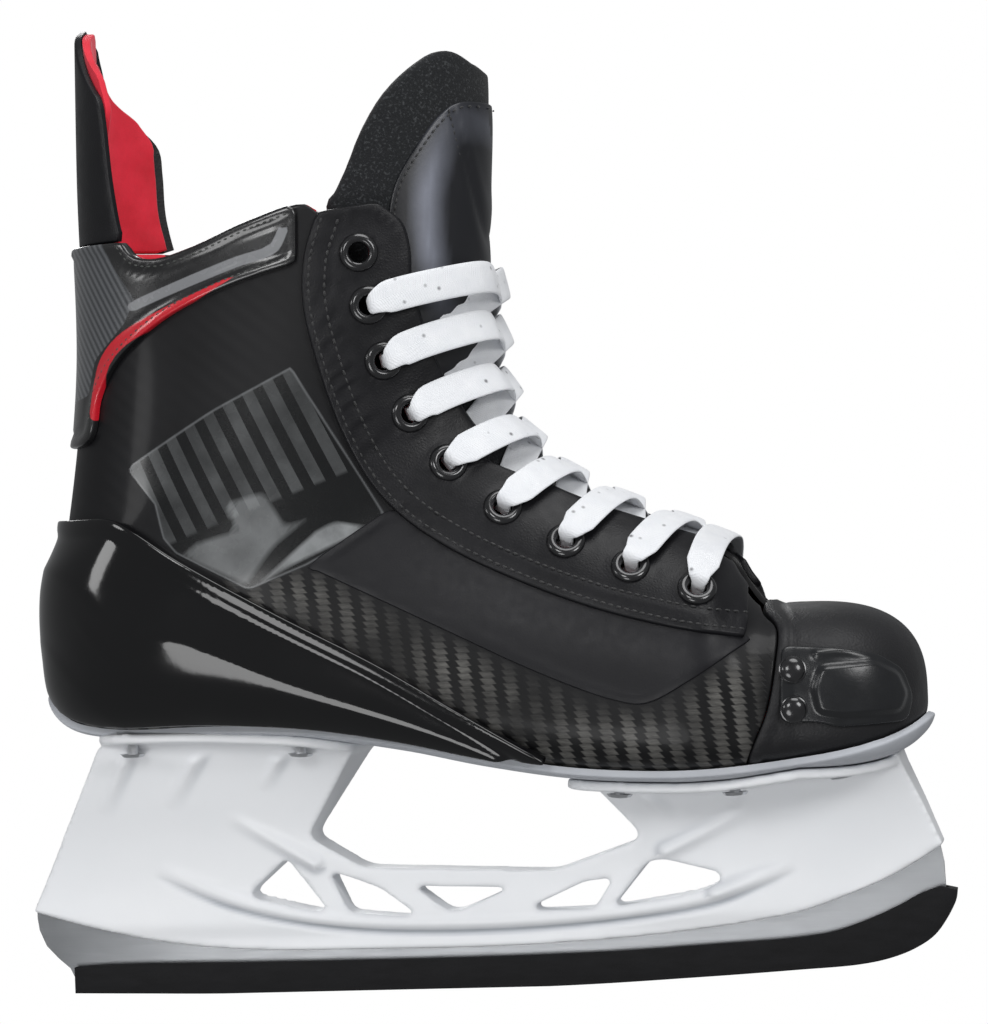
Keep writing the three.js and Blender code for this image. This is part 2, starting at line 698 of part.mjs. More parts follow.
// Half the width of the towers at each height, flaring like a trumpet to the flanges.
const trumpet = (inset) => {
  const profile = smooth(
    [[holderFoot, 10], [holderFoot, 18], [6.5, 24], [7, 34], [8.5, 44], [11, 55], [14.5, 66],
      [18, 76], [holderTop, 84], [holderTop, 100]].map(([y, z]) => [y, upZ(z)]),
    7,
  ).map(([y, z]) => [y - inset, z]);
  const mirrored = profile.map(([y, z]) => [-y, z]).reverse();
  return alongPrism([...profile, ...mirrored], -far, far);
};
const holderOutline = [
  ...holderLower,
  ...sideView([[-144, 58], [-129.3, 85.8], [-127, 100], [142, 100], [142.3, 72.3], [148.4, 58.8]]),
];
const towers = {
  rear: sideView([[-138, 60], [-124, 86], [-122, 98], [-46, 98], [-50, 80], [-66, 57], [-86, 60]]),
  front: sideView([[62, 60], [48, 74], [50, 98], [136, 98], [137, 72], [141, 60], [100, 50]]),
};
const flanges = {
  rear: [[-129, -25], [-120, -31], [-55, -31], [-41, -25], [-41, 25], [-55, 31], [-120, 31],
    [-129, 25]],
  front: [[31, -28], [50, -34], [90, -38], [126, -34], [142, -22], [142, 22], [126, 34], [90, 38],
    [50, 35], [31, 29]],
};

// The runner's edge under the holder, and the bottom line that the guard carries.
const floorLine = sideView([[-144.7, 1.2], [-120, 0.6], [-92, 0], [20, 0], [71, 1.9], [104, 3.6],
  [124.5, 4.9], [134.6, 6.7], [143.1, 9.7], [150, 14], [154.4, 19.5], [157.3, 25], [158, 29]]);
const raisedFloor = floorLine.map(([x, z], i) => {
  const [x0, z0] = floorLine[Math.max(i - 1, 0)];
  const [x1, z1] = floorLine[Math.min(i + 1, floorLine.length - 1)];
  const length = Math.hypot(x1 - x0, z1 - z0);
  return [x - ((z1 - z0) / length) * guardFloor, z + ((x1 - x0) / length) * guardFloor];
});
const runnerHeel = sideView([[-158, 32], [-158, 27], [-157.4, 22.8], [-155.1, 17.4],
  [-151, 13], [-147, 9.5]]);
const runnerNose = sideView([[154.2, 31.5], [154, 38], [152.5, 46]]);
const runnerTopLine = raise(holderLower, runnerDepth);
const tabs = {
  rear: sideView([[-108, 20], [-108, 46], [-92, 46], [-92, 20]]),
  front: sideView([[96, 22], [96, 46], [112, 46], [112, 22]]),
};
const boltX = { rear: alongX(-100), front: alongX(104) };

const bolts = Object.keys(boltX).map((name) => {
  const nutCentre = new THREE.Vector3(boltX[name], 0, upZ(nutHeight));
  const headTop = upZ(boltTop);
  const boltAxis = new THREE.Vector3(0, 0, 1);
  const across = new THREE.Vector3(0, 1, 0);
  const tip = upZ(nutHeight) - nutRadius + 1;
  const at = new THREE.Vector3(boltX[name], 0, 0);
  const hole = turnedPiece(rod(boltRadius + clearance, tip - 1, headTop), at, boltAxis, 12);
  const seat = turnedPiece(rod(boltHeadRadius + clearance * 2, headTop - boltHeadHeight, upZ(110)),
    at, boltAxis, 12);
  const profile = [[0, tip], [boltRadius, tip], [boltRadius, headTop - boltHeadHeight + clearance],
    [boltHeadRadius, headTop - boltHeadHeight + clearance], [boltHeadRadius, headTop],
    [boltHeadRadius / 2, headTop], [boltHeadRadius / 2, headTop - driveDepth],
    [0, headTop - driveDepth]];
  const nut = turnedPiece(rod(nutRadius, -nutLength / 2, nutLength / 2), nutCentre, across, 12);
  const nutHole = turnedPiece(
    rod(nutRadius + clearance, -nutLength / 2 - clearance, nutLength / 2 + clearance),
    nutCentre, across, 12);
  return { name, hole, seat, nut: nut.subtract(hole), nutHole,
    solid: turnedPiece(profile, at, boltAxis, 12) };
});

const runnerOutline = [
  ...raisedFloor.slice(0, -1),
  ...runnerNose,
  ...runnerTopLine.slice(2, -1),
  ...runnerHeel,
];
const runnerBlank = (outline, wall) => acrossPrism(outline, -wall / 2, wall / 2);
let runner = runnerBlank(runnerOutline, runnerWall)
  .add(runnerBlank(tabs.rear, runnerWall))
  .add(runnerBlank(tabs.front, runnerWall));
bolts.forEach(({ hole, nutHole }) => {
  runner = runner.subtract(hole).subtract(nutHole);
});

const slotWall = runnerWall + 2 * slotClearance;
const grow = ([x, z], [cx, cz]) => [x + Math.sign(x - cx) * clearance, z + Math.sign(z - cz) * clearance];
const slotOutline = [...raise(runnerTopLine, clearance), [-far, upZ(20)], [-far, 0], [far, 0],
  [far, upZ(50)]];
const bodyShape = acrossPrism(holderOutline, -far, far).intersect(trumpet(0));
const pockets = Object.values(towers).map((outline) => {
  const pocket = acrossPrism(rounded(outline, 5, 2), -far, far);
  return pocket.intersect(trumpet(towerWall)).subtract(alongPrism(
    [[-far, 0], [far, 0], [far, upZ(boltTop) - boltHeadHeight], [-far, upZ(boltTop) - boltHeadHeight]],
    -far, far,
  ));
});
let holder = bodyShape;
pockets.forEach((pocket) => {
  holder = holder.subtract(pocket);
});
holder = holder
  .subtract(acrossPrism(bigWindow, -far, far))
  .add(layer(flangeIn, flangeOut).intersect(upPrism(
    rounded(flanges.rear.map(([x, y]) => [alongX(x), acrossY(y)]), 6, 2), 50, upZ(88))))
  .add(layer(flangeIn, flangeOut).intersect(upPrism(
    rounded(flanges.front.map(([x, y]) => [alongX(x), acrossY(y)]), 8, 2), 50, upZ(82))))
  .subtract(base(flangeIn))
  .subtract(base(heelCupOut + clearance).intersect(acrossPrism(above(trim.holder), -far, far)));
trussWindows.forEach((outline) => {
  holder = holder.subtract(acrossPrism(outline, -far, far));
});
holder = holder.subtract(runnerBlank(slotOutline, slotWall));
Object.values(tabs).forEach((outline) => {
  const [cx, cz] = [(outline[0][0] + outline[2][0]) / 2, (outline[0][1] + outline[2][1]) / 2];
  const roomy = outline.map((p) => grow(p, [cx, cz]));
  holder = holder.subtract(runnerBlank(roomy, slotWall));
});
bolts.forEach(({ hole, seat, nutHole }) => {
  holder = holder.subtract(hole).subtract(seat).subtract(nutHole);
});
holder = cutAll(holder, soleRivets);

const guardTop = sideView([[152.5, 30.3], [145.5, 27.8], [138.7, 24.3], [128.5, 19.9],
  [116.6, 16.1], [104.8, 14.4], [71, 12.5], [43.8, 11.2], [2.7, 10.4], [-66.6, 10.3],
  [-129.8, 10.7], [-144.7, 10.1]]);
const guardHalf = runnerWall / 2 + slotClearance + guardWall;
const guardChannel = acrossPrism(
  [
    ...raise(raisedFloor, -clearance), [far, upZ(60)], [-far, upZ(60)],
    [-far, raisedFloor[0][1] - clearance],
  ],
  -slotWall / 2,
  slotWall / 2,
);
const guard = acrossPrism([...floorLine, ...guardTop], -guardHalf, guardHalf)
  .subtract(guardChannel);

// ---- materials and assembly

const finish = (color, roughness, metalness = 0) =>
  new THREE.MeshStandardMaterial({ color, roughness, metalness });
const blackWeave = finish(0x1d1d1f, 0.6);
const blackLeather = finish(0x161618, 0.45);
const blackGloss = finish(0x0c0c0e, 0.12);
const blackRubber = finish(0x17171a, 0.7);
const whitePlastic = finish(0xe9eaee, 0.35);
const redLining = finish(0xc81e30, 0.8);
const greyFelt = finish(0x3a3c40, 0.9);
const greyBoard = finish(0x8d9097, 0.7);
const steel = finish(0xa9acb2, 0.3, 1);
const blackEnamel = finish(0x101012, 0.25, 0.6);
const whiteWeave = finish(0xf0f0f0, 0.85);

const skate = new THREE.Group();
skate.name = "hockey_skate";
function addPiece(group, name, solid, material) {
  const mesh = new THREE.Mesh(toGeometry(solid), material);
  mesh.name = name;
  group.add(mesh);
}

const guardBody = new THREE.Group();
addPiece(guardBody, "blade_guard", guard, blackRubber);

const chassis = new THREE.Group();
addPiece(chassis, "runner", runner, steel);
addPiece(chassis, "holder", holder, whitePlastic);
bolts.forEach(({ name, solid, nut }) => {
  addPiece(chassis, `${name}_runner_bolt`, solid, steel);
  addPiece(chassis, `${name}_runner_nut`, nut, steel);
});
soleRivets.forEach(({ name, solid }) => addPiece(chassis, name, solid, steel));

const boot = new THREE.Group();
addPiece(boot, "outsole", outsole, greyBoard);
addPiece(boot, "lasting_board", board, greyBoard);
addPiece(boot, "footbed", footbed, greyFelt);
addPiece(boot, "toe_cap", toeCap, blackRubber);
addPiece(boot, "heel_cup", heelCup, blackGloss);
addPiece(boot, "collar_band", collarBand, blackGloss);
for (const [name, [low, high, side]] of Object.entries(half)) {
  addPiece(boot, `quarter_${name}`, quarter([low, high]), blackWeave);
  addPiece(boot, `facing_${name}`, facing([low, high]), blackLeather);
  addPiece(boot, `liner_${name}`, liner([low, high]), redLining);
  addPiece(boot, `toe_bumper_${name}`, bumper(side), blackGloss);
}
toeRivets.forEach(({ name, solid }) => addPiece(boot, name, solid, blackEnamel));
eyelets.forEach(({ name, solid }) => addPiece(boot, name, solid, blackEnamel));
addPiece(boot, "tongue_lower", tongueLower, greyFelt);
addPiece(boot, "lace", lace, whiteWeave);

const flap = new THREE.Group();
addPiece(flap, "tongue_upper", tongueUpper, greyFelt);
addPiece(flap, "tongue_shell", tongueShell, blackGloss);

const tendon = new THREE.Group();
addPiece(tendon, "tendon_guard", tendonGuard, blackLeather);
addPiece(tendon, "tendon_liner", tendonLiner, redLining);

skate.add(guardBody, chassis, boot, flap, tendon);
export default skate;
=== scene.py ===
"""An ice hockey skate for the right foot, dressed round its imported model.

The file follows the skate as it is put together: the edge guard, the runner, the holder, then the
boot from its sole up, its lining, its tongue, its tendon guard and its lace. Drawn sizes are in
millimetres, in the model's frame: +X to the toe, -Y to the outer side of the foot, +Z up.
"""
import math

import bmesh
import bpy
import numpy as np
from mathutils import Matrix, Vector


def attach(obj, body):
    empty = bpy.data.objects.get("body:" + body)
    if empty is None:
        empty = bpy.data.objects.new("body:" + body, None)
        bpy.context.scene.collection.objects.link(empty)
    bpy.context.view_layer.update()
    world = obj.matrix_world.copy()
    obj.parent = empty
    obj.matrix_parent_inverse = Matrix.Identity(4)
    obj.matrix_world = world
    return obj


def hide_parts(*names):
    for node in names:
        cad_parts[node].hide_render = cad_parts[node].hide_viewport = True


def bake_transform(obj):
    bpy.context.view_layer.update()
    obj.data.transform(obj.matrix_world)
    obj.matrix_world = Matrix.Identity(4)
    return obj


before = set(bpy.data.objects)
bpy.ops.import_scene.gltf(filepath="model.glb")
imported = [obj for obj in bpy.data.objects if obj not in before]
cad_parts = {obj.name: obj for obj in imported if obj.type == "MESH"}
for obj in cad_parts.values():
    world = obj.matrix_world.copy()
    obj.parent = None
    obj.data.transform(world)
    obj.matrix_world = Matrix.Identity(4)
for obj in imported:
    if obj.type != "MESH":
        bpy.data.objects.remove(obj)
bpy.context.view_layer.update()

# ---- Camera and light
# The outer side is seen from 9 degrees round towards the toe, with the toe tipped up a little.
# The skate hangs in a white studio with no floor, and soft boxes stand round it.
mm = 0.001
TURN, TIP = math.radians(9), math.radians(2.3)
SHOT_FROM, AIM_HEIGHT, AIM_RIGHT = 1400, 164.8, 1.36
TIP_SHIFT = Vector((-1.3, 0, -3.9))
LIGHT_AIM = Vector((0, 0, 0.15))


def tipped(vector):
    """A direction of the level view, in the frame of the skate."""
    x, y, z = vector
    return Vector((x * math.cos(TIP) + z * math.sin(TIP), y, z * math.cos(TIP) - x * math.sin(TIP)))


camera_right = Vector((math.cos(TURN), math.sin(TURN), 0))
camera_back = Vector((math.sin(TURN), -math.cos(TURN), 0))
camera_at = Vector((0, 0, AIM_HEIGHT)) + camera_back * SHOT_FROM + camera_right * AIM_RIGHT
axes = [tipped(axis) for axis in (camera_right, (0, 0, 1), camera_back)]
camera = bpy.data.objects.new("camera", bpy.data.cameras.new("camera"))
camera.matrix_world = (
    Matrix.Translation((tipped(camera_at) + TIP_SHIFT) * mm) @ Matrix(axes).transposed().to_4x4()
)
camera.data.sensor_fit = "VERTICAL"
camera.data.sensor_height = 36
camera.data.lens = 145
camera.data.clip_end = 50
bpy.context.collection.objects.link(camera)
bpy.context.scene.camera = camera
bpy.context.scene.view_settings.view_transform = "Standard"

world = bpy.data.worlds.new("studio")
world.use_nodes = True
nodes, links = world.node_tree.nodes, world.node_tree.links
fill = nodes["Background"]
fill.inputs["Color"].default_value = (0.97, 0.985, 1, 1)
fill.inputs["Strength"].default_value = 0.26
backdrop = nodes.new("ShaderNodeBackground")
backdrop.inputs["Color"].default_value = (1, 1, 1, 1)
either = nodes.new("ShaderNodeMixShader")
links.new(nodes.new("ShaderNodeLightPath").outputs["Is Camera Ray"], either.inputs["Fac"])
links.new(fill.outputs["Background"], either.inputs[1])
links.new(backdrop.outputs["Background"], either.inputs[2])
links.new(either.outputs["Shader"], nodes["World Output"].inputs["Surface"])
bpy.context.scene.world = world

SOFT_BOXES = {  # where each hangs, its size and its power
    "box_above": ((0.35, -0.35, 1.35), 0.9, 9),
    "box_front": ((1.1, -1.2, 0.8), 0.6, 8),
    "box_over_camera": ((-0.3, -1.4, 0.68), 0.42, 4),
    "box_low": ((-0.25, -1.35, -0.32), 0.62, 5),
    "box_left": ((-1.3, -0.9, 0.6), 0.4, 2.5),
    "box_behind": ((-0.5, 1.4, 0.9), 0.7, 8),
}
for name, (place, size, power) in SOFT_BOXES.items():
    light = bpy.data.lights.new(name, "AREA")
    light.shape, light.size, light.energy = "DISK", size, power
    lamp = bpy.data.objects.new(name, light)
    lamp.location = place
    lamp.rotation_euler = (LIGHT_AIM - Vector(place)).to_track_quat("-Z", "Y").to_euler()
    bpy.context.collection.objects.link(lamp)

# ---- Edge guard
# A strip of black rubber with a channel down its middle, pushed up over the runner's edge. It is
# cut square at the heel and turns up round the nose of the runner.


class Signal:
    """An output of a material's node. Arithmetic on it adds the Math node that works it out."""

    def __init__(self, finish, socket):
        self.finish, self.socket = finish, socket

    def maths(self, operation, *values):
        return self.finish.node("Math", dict(enumerate(values)), operation=operation)

    def __add__(self, other):
        return self.maths("ADD", self, other)

    def __sub__(self, other):
        return self.maths("SUBTRACT", self, other)

    def __rsub__(self, other):
        return self.maths("SUBTRACT", other, self)

    def __mul__(self, other):
        return self.maths("MULTIPLY", self, other)

    def __mod__(self, other):
        return self.maths("FLOORED_MODULO", self, other)

    def __pow__(self, other):
        return self.maths("POWER", self, other)

    def __lt__(self, other):
        return self.maths("LESS_THAN", self, other)

    __radd__, __rmul__ = __add__, __mul__

    def sine(self):
        return self.maths("SINE", self)

    def size(self):
        return self.maths("ABSOLUTE", self)

    def least(self, other):
        return self.maths("MINIMUM", self, other)

    def most(self, other):
        return self.maths("MAXIMUM", self, other)

    def held(self):
        """Held between 0 and 1."""
        return self.most(0).least(1)


class Finish:
    """A procedural material. `node` adds any node, and lengths are given in millimetres."""

    def __init__(self, name, **sockets):
        self.material = bpy.data.materials.new(name)
        self.material.use_nodes = True
        self.tree = self.material.node_tree
        self.shader = self.tree.nodes["Principled BSDF"]
        self.place = self.node("TexCoord", out="Object")
        self.set(**sockets)

    def feed(self, socket, value):
        if isinstance(value, Signal):
            self.tree.links.new(value.socket, socket)
        else:
            colour = socket.type == "RGBA" and len(value) == 3
            socket.default_value = (*value, 1) if colour else value

    def set(self, **sockets):
        """Shader sockets by name, with _ for each space."""
        for name, value in sockets.items():
            self.feed(self.shader.inputs[name.replace("_", " ")], value)

    def node(self, kind, sockets=None, out=0, **settings):
        """Adds a node: its settings first, then the values or links of its sockets."""
        made = self.tree.nodes.new("ShaderNode" + kind)
        for name, value in settings.items():
            setattr(made, name, value)
        for key, value in (sockets or {}).items():
            self.feed(made.inputs[key], value)
        return Signal(self, made.outputs[out])

    def axis(self, name):
        """X, Y or Z of the piece, in millimetres."""
        return self.node("SeparateXYZ", {0: self.place}, out=name) * 1000

    def mark(self, name):
        """A value that the mesh carries at each point."""
        return self.node("Attribute", attribute_name=name, out="Fac")

    def noise(self, size, detail=3.0, stretch=(1, 1, 1)):
        where = self.node("Mapping", {"Vector": self.place, "Scale": stretch})
        sockets = {"Vector": where, "Scale": 1000 / size, "Detail": detail}
        return self.node("TexNoise", sockets, out="Fac")

    def cells(self, size, **settings):
        sockets = {"Vector": self.place, "Scale": 1000 / size}
        return self.node("TexVoronoi", sockets, out="Distance", **settings)

    def mix(self, share, first, second):
        sockets = {0: share, 6: first, 7: second}
        return self.node("Mix", sockets, out=2, data_type="RGBA")

    def bump(self, height, depth):
        """`depth` is how far the surface rises as `height` goes from 0 to 1."""
        sockets = {"Height": height, "Distance": depth * mm, "Strength": 1.0}
        self.set(Normal=self.node("Bump", sockets))


def make(name, vertices, faces, sharp=40):
    """A smooth mesh from points in millimetres, with its edges sharp above `sharp` degrees."""
    mesh = bpy.data.meshes.new(name)
    corners = [list(map(int, face)) for face in faces]
    mesh.from_pydata((np.asarray(vertices, float) * mm).tolist(), [], corners)
    mesh.shade_smooth()
    mesh.set_sharp_from_angle(angle=math.radians(sharp))
    piece = bpy.data.objects.new(f"{name}_look", mesh)
    bpy.context.collection.objects.link(piece)
    return piece


def coat(piece, finish):
    piece.data.materials.clear()
    piece.data.materials.append(finish.material)


def fit(piece, finish, nodes=(), body="skate"):
    """Gives a piece its finish, the body it rides on and the nodes it stands for."""
    coat(piece, finish)
    if body:
        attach(piece, body)
    if nodes:
        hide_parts(*nodes)
    return piece


def smooth(points, steps=8):
    """A centripetal Catmull-Rom curve through points, with `steps` steps to a span."""
    p = np.array(points, float)
    q = np.vstack([2 * p[0] - p[1], p, 2 * p[-1] - p[-2]])
    curve = []
    for a, b, c, d in zip(q, q[1:], q[2:], q[3:]):
        t0, t1, t2, t3 = np.cumsum([0, *(np.linalg.norm(v) ** 0.5 for v in (b - a, c - b, d - c))])
        t = np.linspace(t1, t2, steps, endpoint=False)[:, None]
        ab = ((t1 - t) * a + (t - t0) * b) / (t1 - t0)
        bc = ((t2 - t) * b + (t - t1) * c) / (t2 - t1)
        cd = ((t3 - t) * c + (t - t2) * d) / (t3 - t2)
        abc = ((t2 - t) * ab + (t - t0) * bc) / (t2 - t0)
        bcd = ((t3 - t) * bc + (t - t1) * cd) / (t3 - t1)
        curve.append(((t2 - t) * abc + (t - t1) * bcd) / (t2 - t1))
    return np.vstack([*curve, p[-1:]])


def rounded(points, radius, steps=6):
    """A closed outline with its corners rounded."""
    p = np.array(points, float)
    outline = []
    for before, corner, after in zip(np.roll(p, 1, 0), p, np.roll(p, -1, 0)):
        ends = []
        for side in (before - corner, after - corner):
            length = np.linalg.norm(side)
            ends.append(corner + side / length * min(radius, length / 2.1))
        for t in np.linspace(0, 1, steps + 1):
            outline.append((1 - t) ** 2 * ends[0] + 2 * t * (1 - t) * corner + t * t * ends[1])
    return np.array(outline)


def face_out(piece, weld=False):
    """Turns all faces of a closed solid outward. With `weld`, joins points that coincide."""
    shape = bmesh.new()
    shape.from_mesh(piece.data)
    if weld:
        bmesh.ops.remove_doubles(shape, verts=shape.verts, dist=1e-3 * mm)
    bmesh.ops.recalc_face_normals(shape, faces=shape.faces)
    shape.to_mesh(piece.data)
    shape.free()
    return piece


def prism(name, outline, low, high, along="y"):
    """A closed solid: a side outline carried along y, or a front outline along x."""
    turn = {"y": (0, 2, 1), "x": (2, 0, 1)}[along]
    flat = np.array(outline, float)
    count = len(flat)
    ends = [np.column_stack([flat, np.full(count, level)])[:, turn] for level in (low, high)]
    faces = [list(range(count))[::-1], list(range(count, 2 * count))]
    faces += [(i, (i + 1) % count, (i + 1) % count + count, i + count) for i in range(count)]
    return face_out(make(name, np.vstack(ends), faces))


def change(piece, kind, **settings):
    """Puts the result of one modifier into the piece's mesh."""
    modifier = piece.modifiers.new(kind.lower(), kind)
    for name, value in settings.items():
        setattr(modifier, name, value)
    graph = bpy.context.evaluated_depsgraph_get()
    mesh = bpy.data.meshes.new_from_object(piece.evaluated_get(graph))
    piece.modifiers.clear()
    piece.data = mesh


def carve(piece, tool, operation="DIFFERENCE"):
    """Cuts a closed solid with another one, which is used up."""
    change(piece, "BOOLEAN", object=tool, operation=operation, solver="MANIFOLD")
    bpy.data.objects.remove(tool)


def soften(piece, width):
    """Rounds the sharp edges of a solid."""
    sharp = math.radians(40)
    change(piece, "BEVEL", width=width * mm, segments=3, limit_method="ANGLE", angle_limit=sharp)
    piece.data.shade_smooth()
    piece.data.set_sharp_from_angle(angle=sharp)


RUNNER_WALL, SLOT_CLEARANCE, GUARD_WALL, GUARD_FLOOR = 3, 0.3, 3.2, 3.2
FAR = 200  # well past the skate on any side
floor_line = smooth(
    [(-144.7, 1.2), (-120, 0.6), (-92, 0), (20, 0), (71, 1.9), (104, 3.6), (124.5, 4.9),
     (134.6, 6.7), (143.1, 9.7), (150, 14), (154.4, 19.5), (157.3, 25), (158, 29)])
guard_top = smooth(
    [(152.5, 30.3), (145.5, 27.8), (138.7, 24.3), (128.5, 19.9), (116.6, 16.1), (104.8, 14.4),
     (71, 12.5), (43.8, 11.2), (2.7, 10.4), (-66.6, 10.3), (-129.8, 10.7), (-144.7, 10.1)])
floor_line[:, 1] = np.maximum(floor_line[:, 1], 0)
rise = np.gradient(floor_line, axis=0)
rise = np.column_stack([-rise[:, 1], rise[:, 0]]) / np.linalg.norm(rise, axis=1)[:, None]
edge_line = floor_line + rise * GUARD_FLOOR
channel_half = RUNNER_WALL / 2 + SLOT_CLEARANCE
guard_half = channel_half + GUARD_WALL
channel_floor = edge_line - (0, SLOT_CLEARANCE)
channel = np.vstack([channel_floor, [(FAR, 60), (-FAR, 60), (-FAR, channel_floor[0, 1])]])
guard = prism("edge_guard", np.vstack([floor_line, guard_top]), -guard_half, guard_half)
carve(guard, prism("channel", channel, -channel_half, channel_half))
soften(guard, 0.8)

rubber = Finish("guard_rubber", Specular_IOR_Level=0.15)
grain = rubber.noise(0.5, 4)
scuffs = rubber.noise(9, 6, (1, 1, 4))
rubber.set(
    Base_Color=rubber.mix(scuffs, (0.004, 0.004, 0.0045), (0.011, 0.011, 0.0125)),
    Roughness=0.5 + 0.22 * grain,
)
rubber.bump(grain, 0.05)
fit(guard, rubber, ["blade_guard"], "guard")

# ---- Runner
# A stamped and ground plate of hardened steel. Its sides are brushed lengthways, its colour
# carries painted shade, dark at the heel and lighter towards the toe, and two tabs inside the
# holder take the bolts.
steel = Finish("runner_steel", Metallic=1.0)
brushing = steel.noise(0.35, 5, (0.03, 1, 1))
smudge = steel.noise(28, 3)
HEEL_END = -152
# Painted shade: 0 at the heel end, rising to 1 towards the toe, where the steel is coloured
# lighter.
painted_shading = ((steel.axis("X") - HEEL_END) * 0.018).held()
steel.set(
    Base_Color=steel.mix(
        (painted_shading * 0.8 + smudge * 0.35).held(), (0.1, 0.105, 0.11), (0.36, 0.37, 0.385)),
    Roughness=0.34 + 0.2 * brushing,
    Anisotropic=0.4,
)
steel.bump(brushing, 0.012)
coat(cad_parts["runner"], steel)

# ---- Boot surface
# The boot is lasted over one smooth form, and every layer is laid on it at its own height. Each
# station is a section square to the foot, from sole or heel to instep or shin: side-view points
# of its crown and keel, half-widths on the outer and inner side, the share of its height where
# it is widest, and how square it is at keel and crown.
STATIONS = np.array([
    [110, 126.5, 110, 74.8, 46, 47.5, 0.4, 5, 2.7], [99, 127.5, 92, 72.3, 48.5, 49.5, 0.4, 5, 2.5],
    [92.5, 136, 80, 71.5, 50.5, 50.4, 0.38, 5, 2.3], [85, 148, 66, 71.4, 51.3, 50.5, 0.37, 5, 2.2],
    [66, 157, 36, 73.2, 48.5, 50, 0.38, 5, 2.1], [48, 165, 6, 78, 45.5, 47, 0.39, 5, 2.1],
    [34, 173, -22, 84, 43, 43.5, 0.4, 5, 2.1], [24.5, 181, -54, 88.8, 42, 41.5, 0.41, 5, 2.1],
    [18.5, 189, -90, 90.3, 42.5, 41.5, 0.42, 4.5, 2.1],
    [15, 197, -120, 90.3, 43.5, 43, 0.42, 4, 2.1],
    [13, 204, -138, 93.6, 44.5, 44.5, 0.43, 3.2, 2.1],
    [12, 211, -147, 103, 45, 45.5, 0.44, 2.6, 2.1],
    [11.5, 219, -148.5, 119, 45.5, 46, 0.45, 2.4, 2.1],
    [11.5, 229, -146.5, 138, 45.5, 46, 0.46, 2.4, 2.1],
    [12, 241, -140, 162, 45, 45, 0.48, 2.4, 2.1], [14, 270, -133, 216, 43.5, 43.5, 0.5, 2.4, 2.1],
    [17, 308, -132.6, 280, 44, 44, 0.5, 2.4, 2.1], [20, 354, -131, 350, 44, 44, 0.5, 2.4, 2.1],
])
LAST = len(STATIONS) - 1
TOE_LENGTH, TOE_SQUARE, TOE_MIDDLE = 40.5, 2.7, 0.38
CLEARANCE, SHELL, OVERLAY = 0.3, 2.4, 2
TOE_RUN, HALF_GIRTH = 72, 150  # about how far it is along the toe and round one side


def section(s, offset):
    """The rows of STATIONS at `s`, moved out by `offset`."""
    place = np.clip(np.asarray(s, float), 0, LAST)
    i = np.minimum(place.astype(int), LAST - 1)
    t = (place - i)[..., None]
    a, b, c, d = (STATIONS[np.clip(i + k, 0, LAST)] for k in (-1, 0, 1, 2))
    row = 0.5 * (2 * b + (c - a) * t + (2 * a - 5 * b + 4 * c - d) * t**2
                 + (3 * b - a - 3 * c + d) * t**3)
    out = row[..., 0:2] - row[..., 2:4]
    out = out / np.linalg.norm(out, axis=-1)[..., None] * offset
    row[..., 0:2] += out
    row[..., 2:4] -= out
    row[..., 4:6] += offset
    return row


def oval(angle, square):
    """Across and up of a squared oval at an angle."""
    across, up = np.cos(angle), np.sin(angle)
    reach = (np.abs(across) ** square + np.abs(up) ** square) ** (-1 / square)
    return across * reach, up * reach


def surface(s, across, side, offset):
    """Points of the boot: s from -1 at the toe's tip through 0 to LAST, `across` from -1 at the
    keel through 0 at the widest to 1 at the crown, side -1 outer or 1 inner."""
    s, across, side = np.broadcast_arrays(s, across, side)
    row = section(s, offset)
    low = across < 0
    wide, high = oval(np.abs(across) * np.pi / 2, np.where(low, row[..., 7], row[..., 8]))
    widest = row[..., 6]
    share = np.where(low, widest * (1 - high), widest + (1 - widest) * high)
    y = np.where(side < 0, row[..., 4], row[..., 5]) * np.maximum(wide, 0) * side
    x, z = (row[..., 2 + k] + (row[..., k] - row[..., 2 + k]) * share for k in (0, 1))
    toe, grow = oval(np.clip(1 + s, 0, 1) * np.pi / 2, TOE_SQUARE)
    middle = row[..., 3] * (1 - TOE_MIDDLE) + row[..., 1] * TOE_MIDDLE
    x = x + np.maximum(toe, 0) * (TOE_LENGTH + offset) * (s < 0)
    return np.stack([x, y * grow, (z - middle) * grow + middle], -1)


def spread(fine):
    """Rows along the boot and columns round it, close to `fine` apart."""
    rows = list(np.linspace(-1, 0, math.ceil(TOE_RUN / fine), endpoint=False))
    for i, (a, b) in enumerate(zip(STATIONS, STATIONS[1:])):
        gap = max(np.linalg.norm(a[:2] - b[:2]), np.linalg.norm(a[2:4] - b[2:4]))
        rows += list(np.linspace(i, i + 1, math.ceil(gap / fine), endpoint=False))
    count = math.ceil(HALF_GIRTH / fine)
    half = np.linspace(-1, 1, count)
    across = np.concatenate([half, half[-2:0:-1]])
    side = np.concatenate([-np.ones(count), np.ones(count - 2)])
    return np.array([*rows, LAST]), across, side


laid = {}


def grid(offset, fine):
    """The whole surface at one height above the last, with its normals."""
    if (offset, fine) not in laid:
        rows, across, sides = spread(fine)
        points = surface(rows[:, None], across[None], sides[None], offset)
        along = np.gradient(points, axis=0)
        around = np.roll(points, -1, 1) - np.roll(points, 1, 1)
        normals = np.cross(around, along)
        normals /= np.linalg.norm(normals, axis=-1)[..., None] + 1e-9
        if (normals[..., 1] * sides).mean() < 0:
            normals = -normals
        normals[0] = (1, 0, 0)
        laid[offset, fine] = points, normals
    return laid[offset, fine]


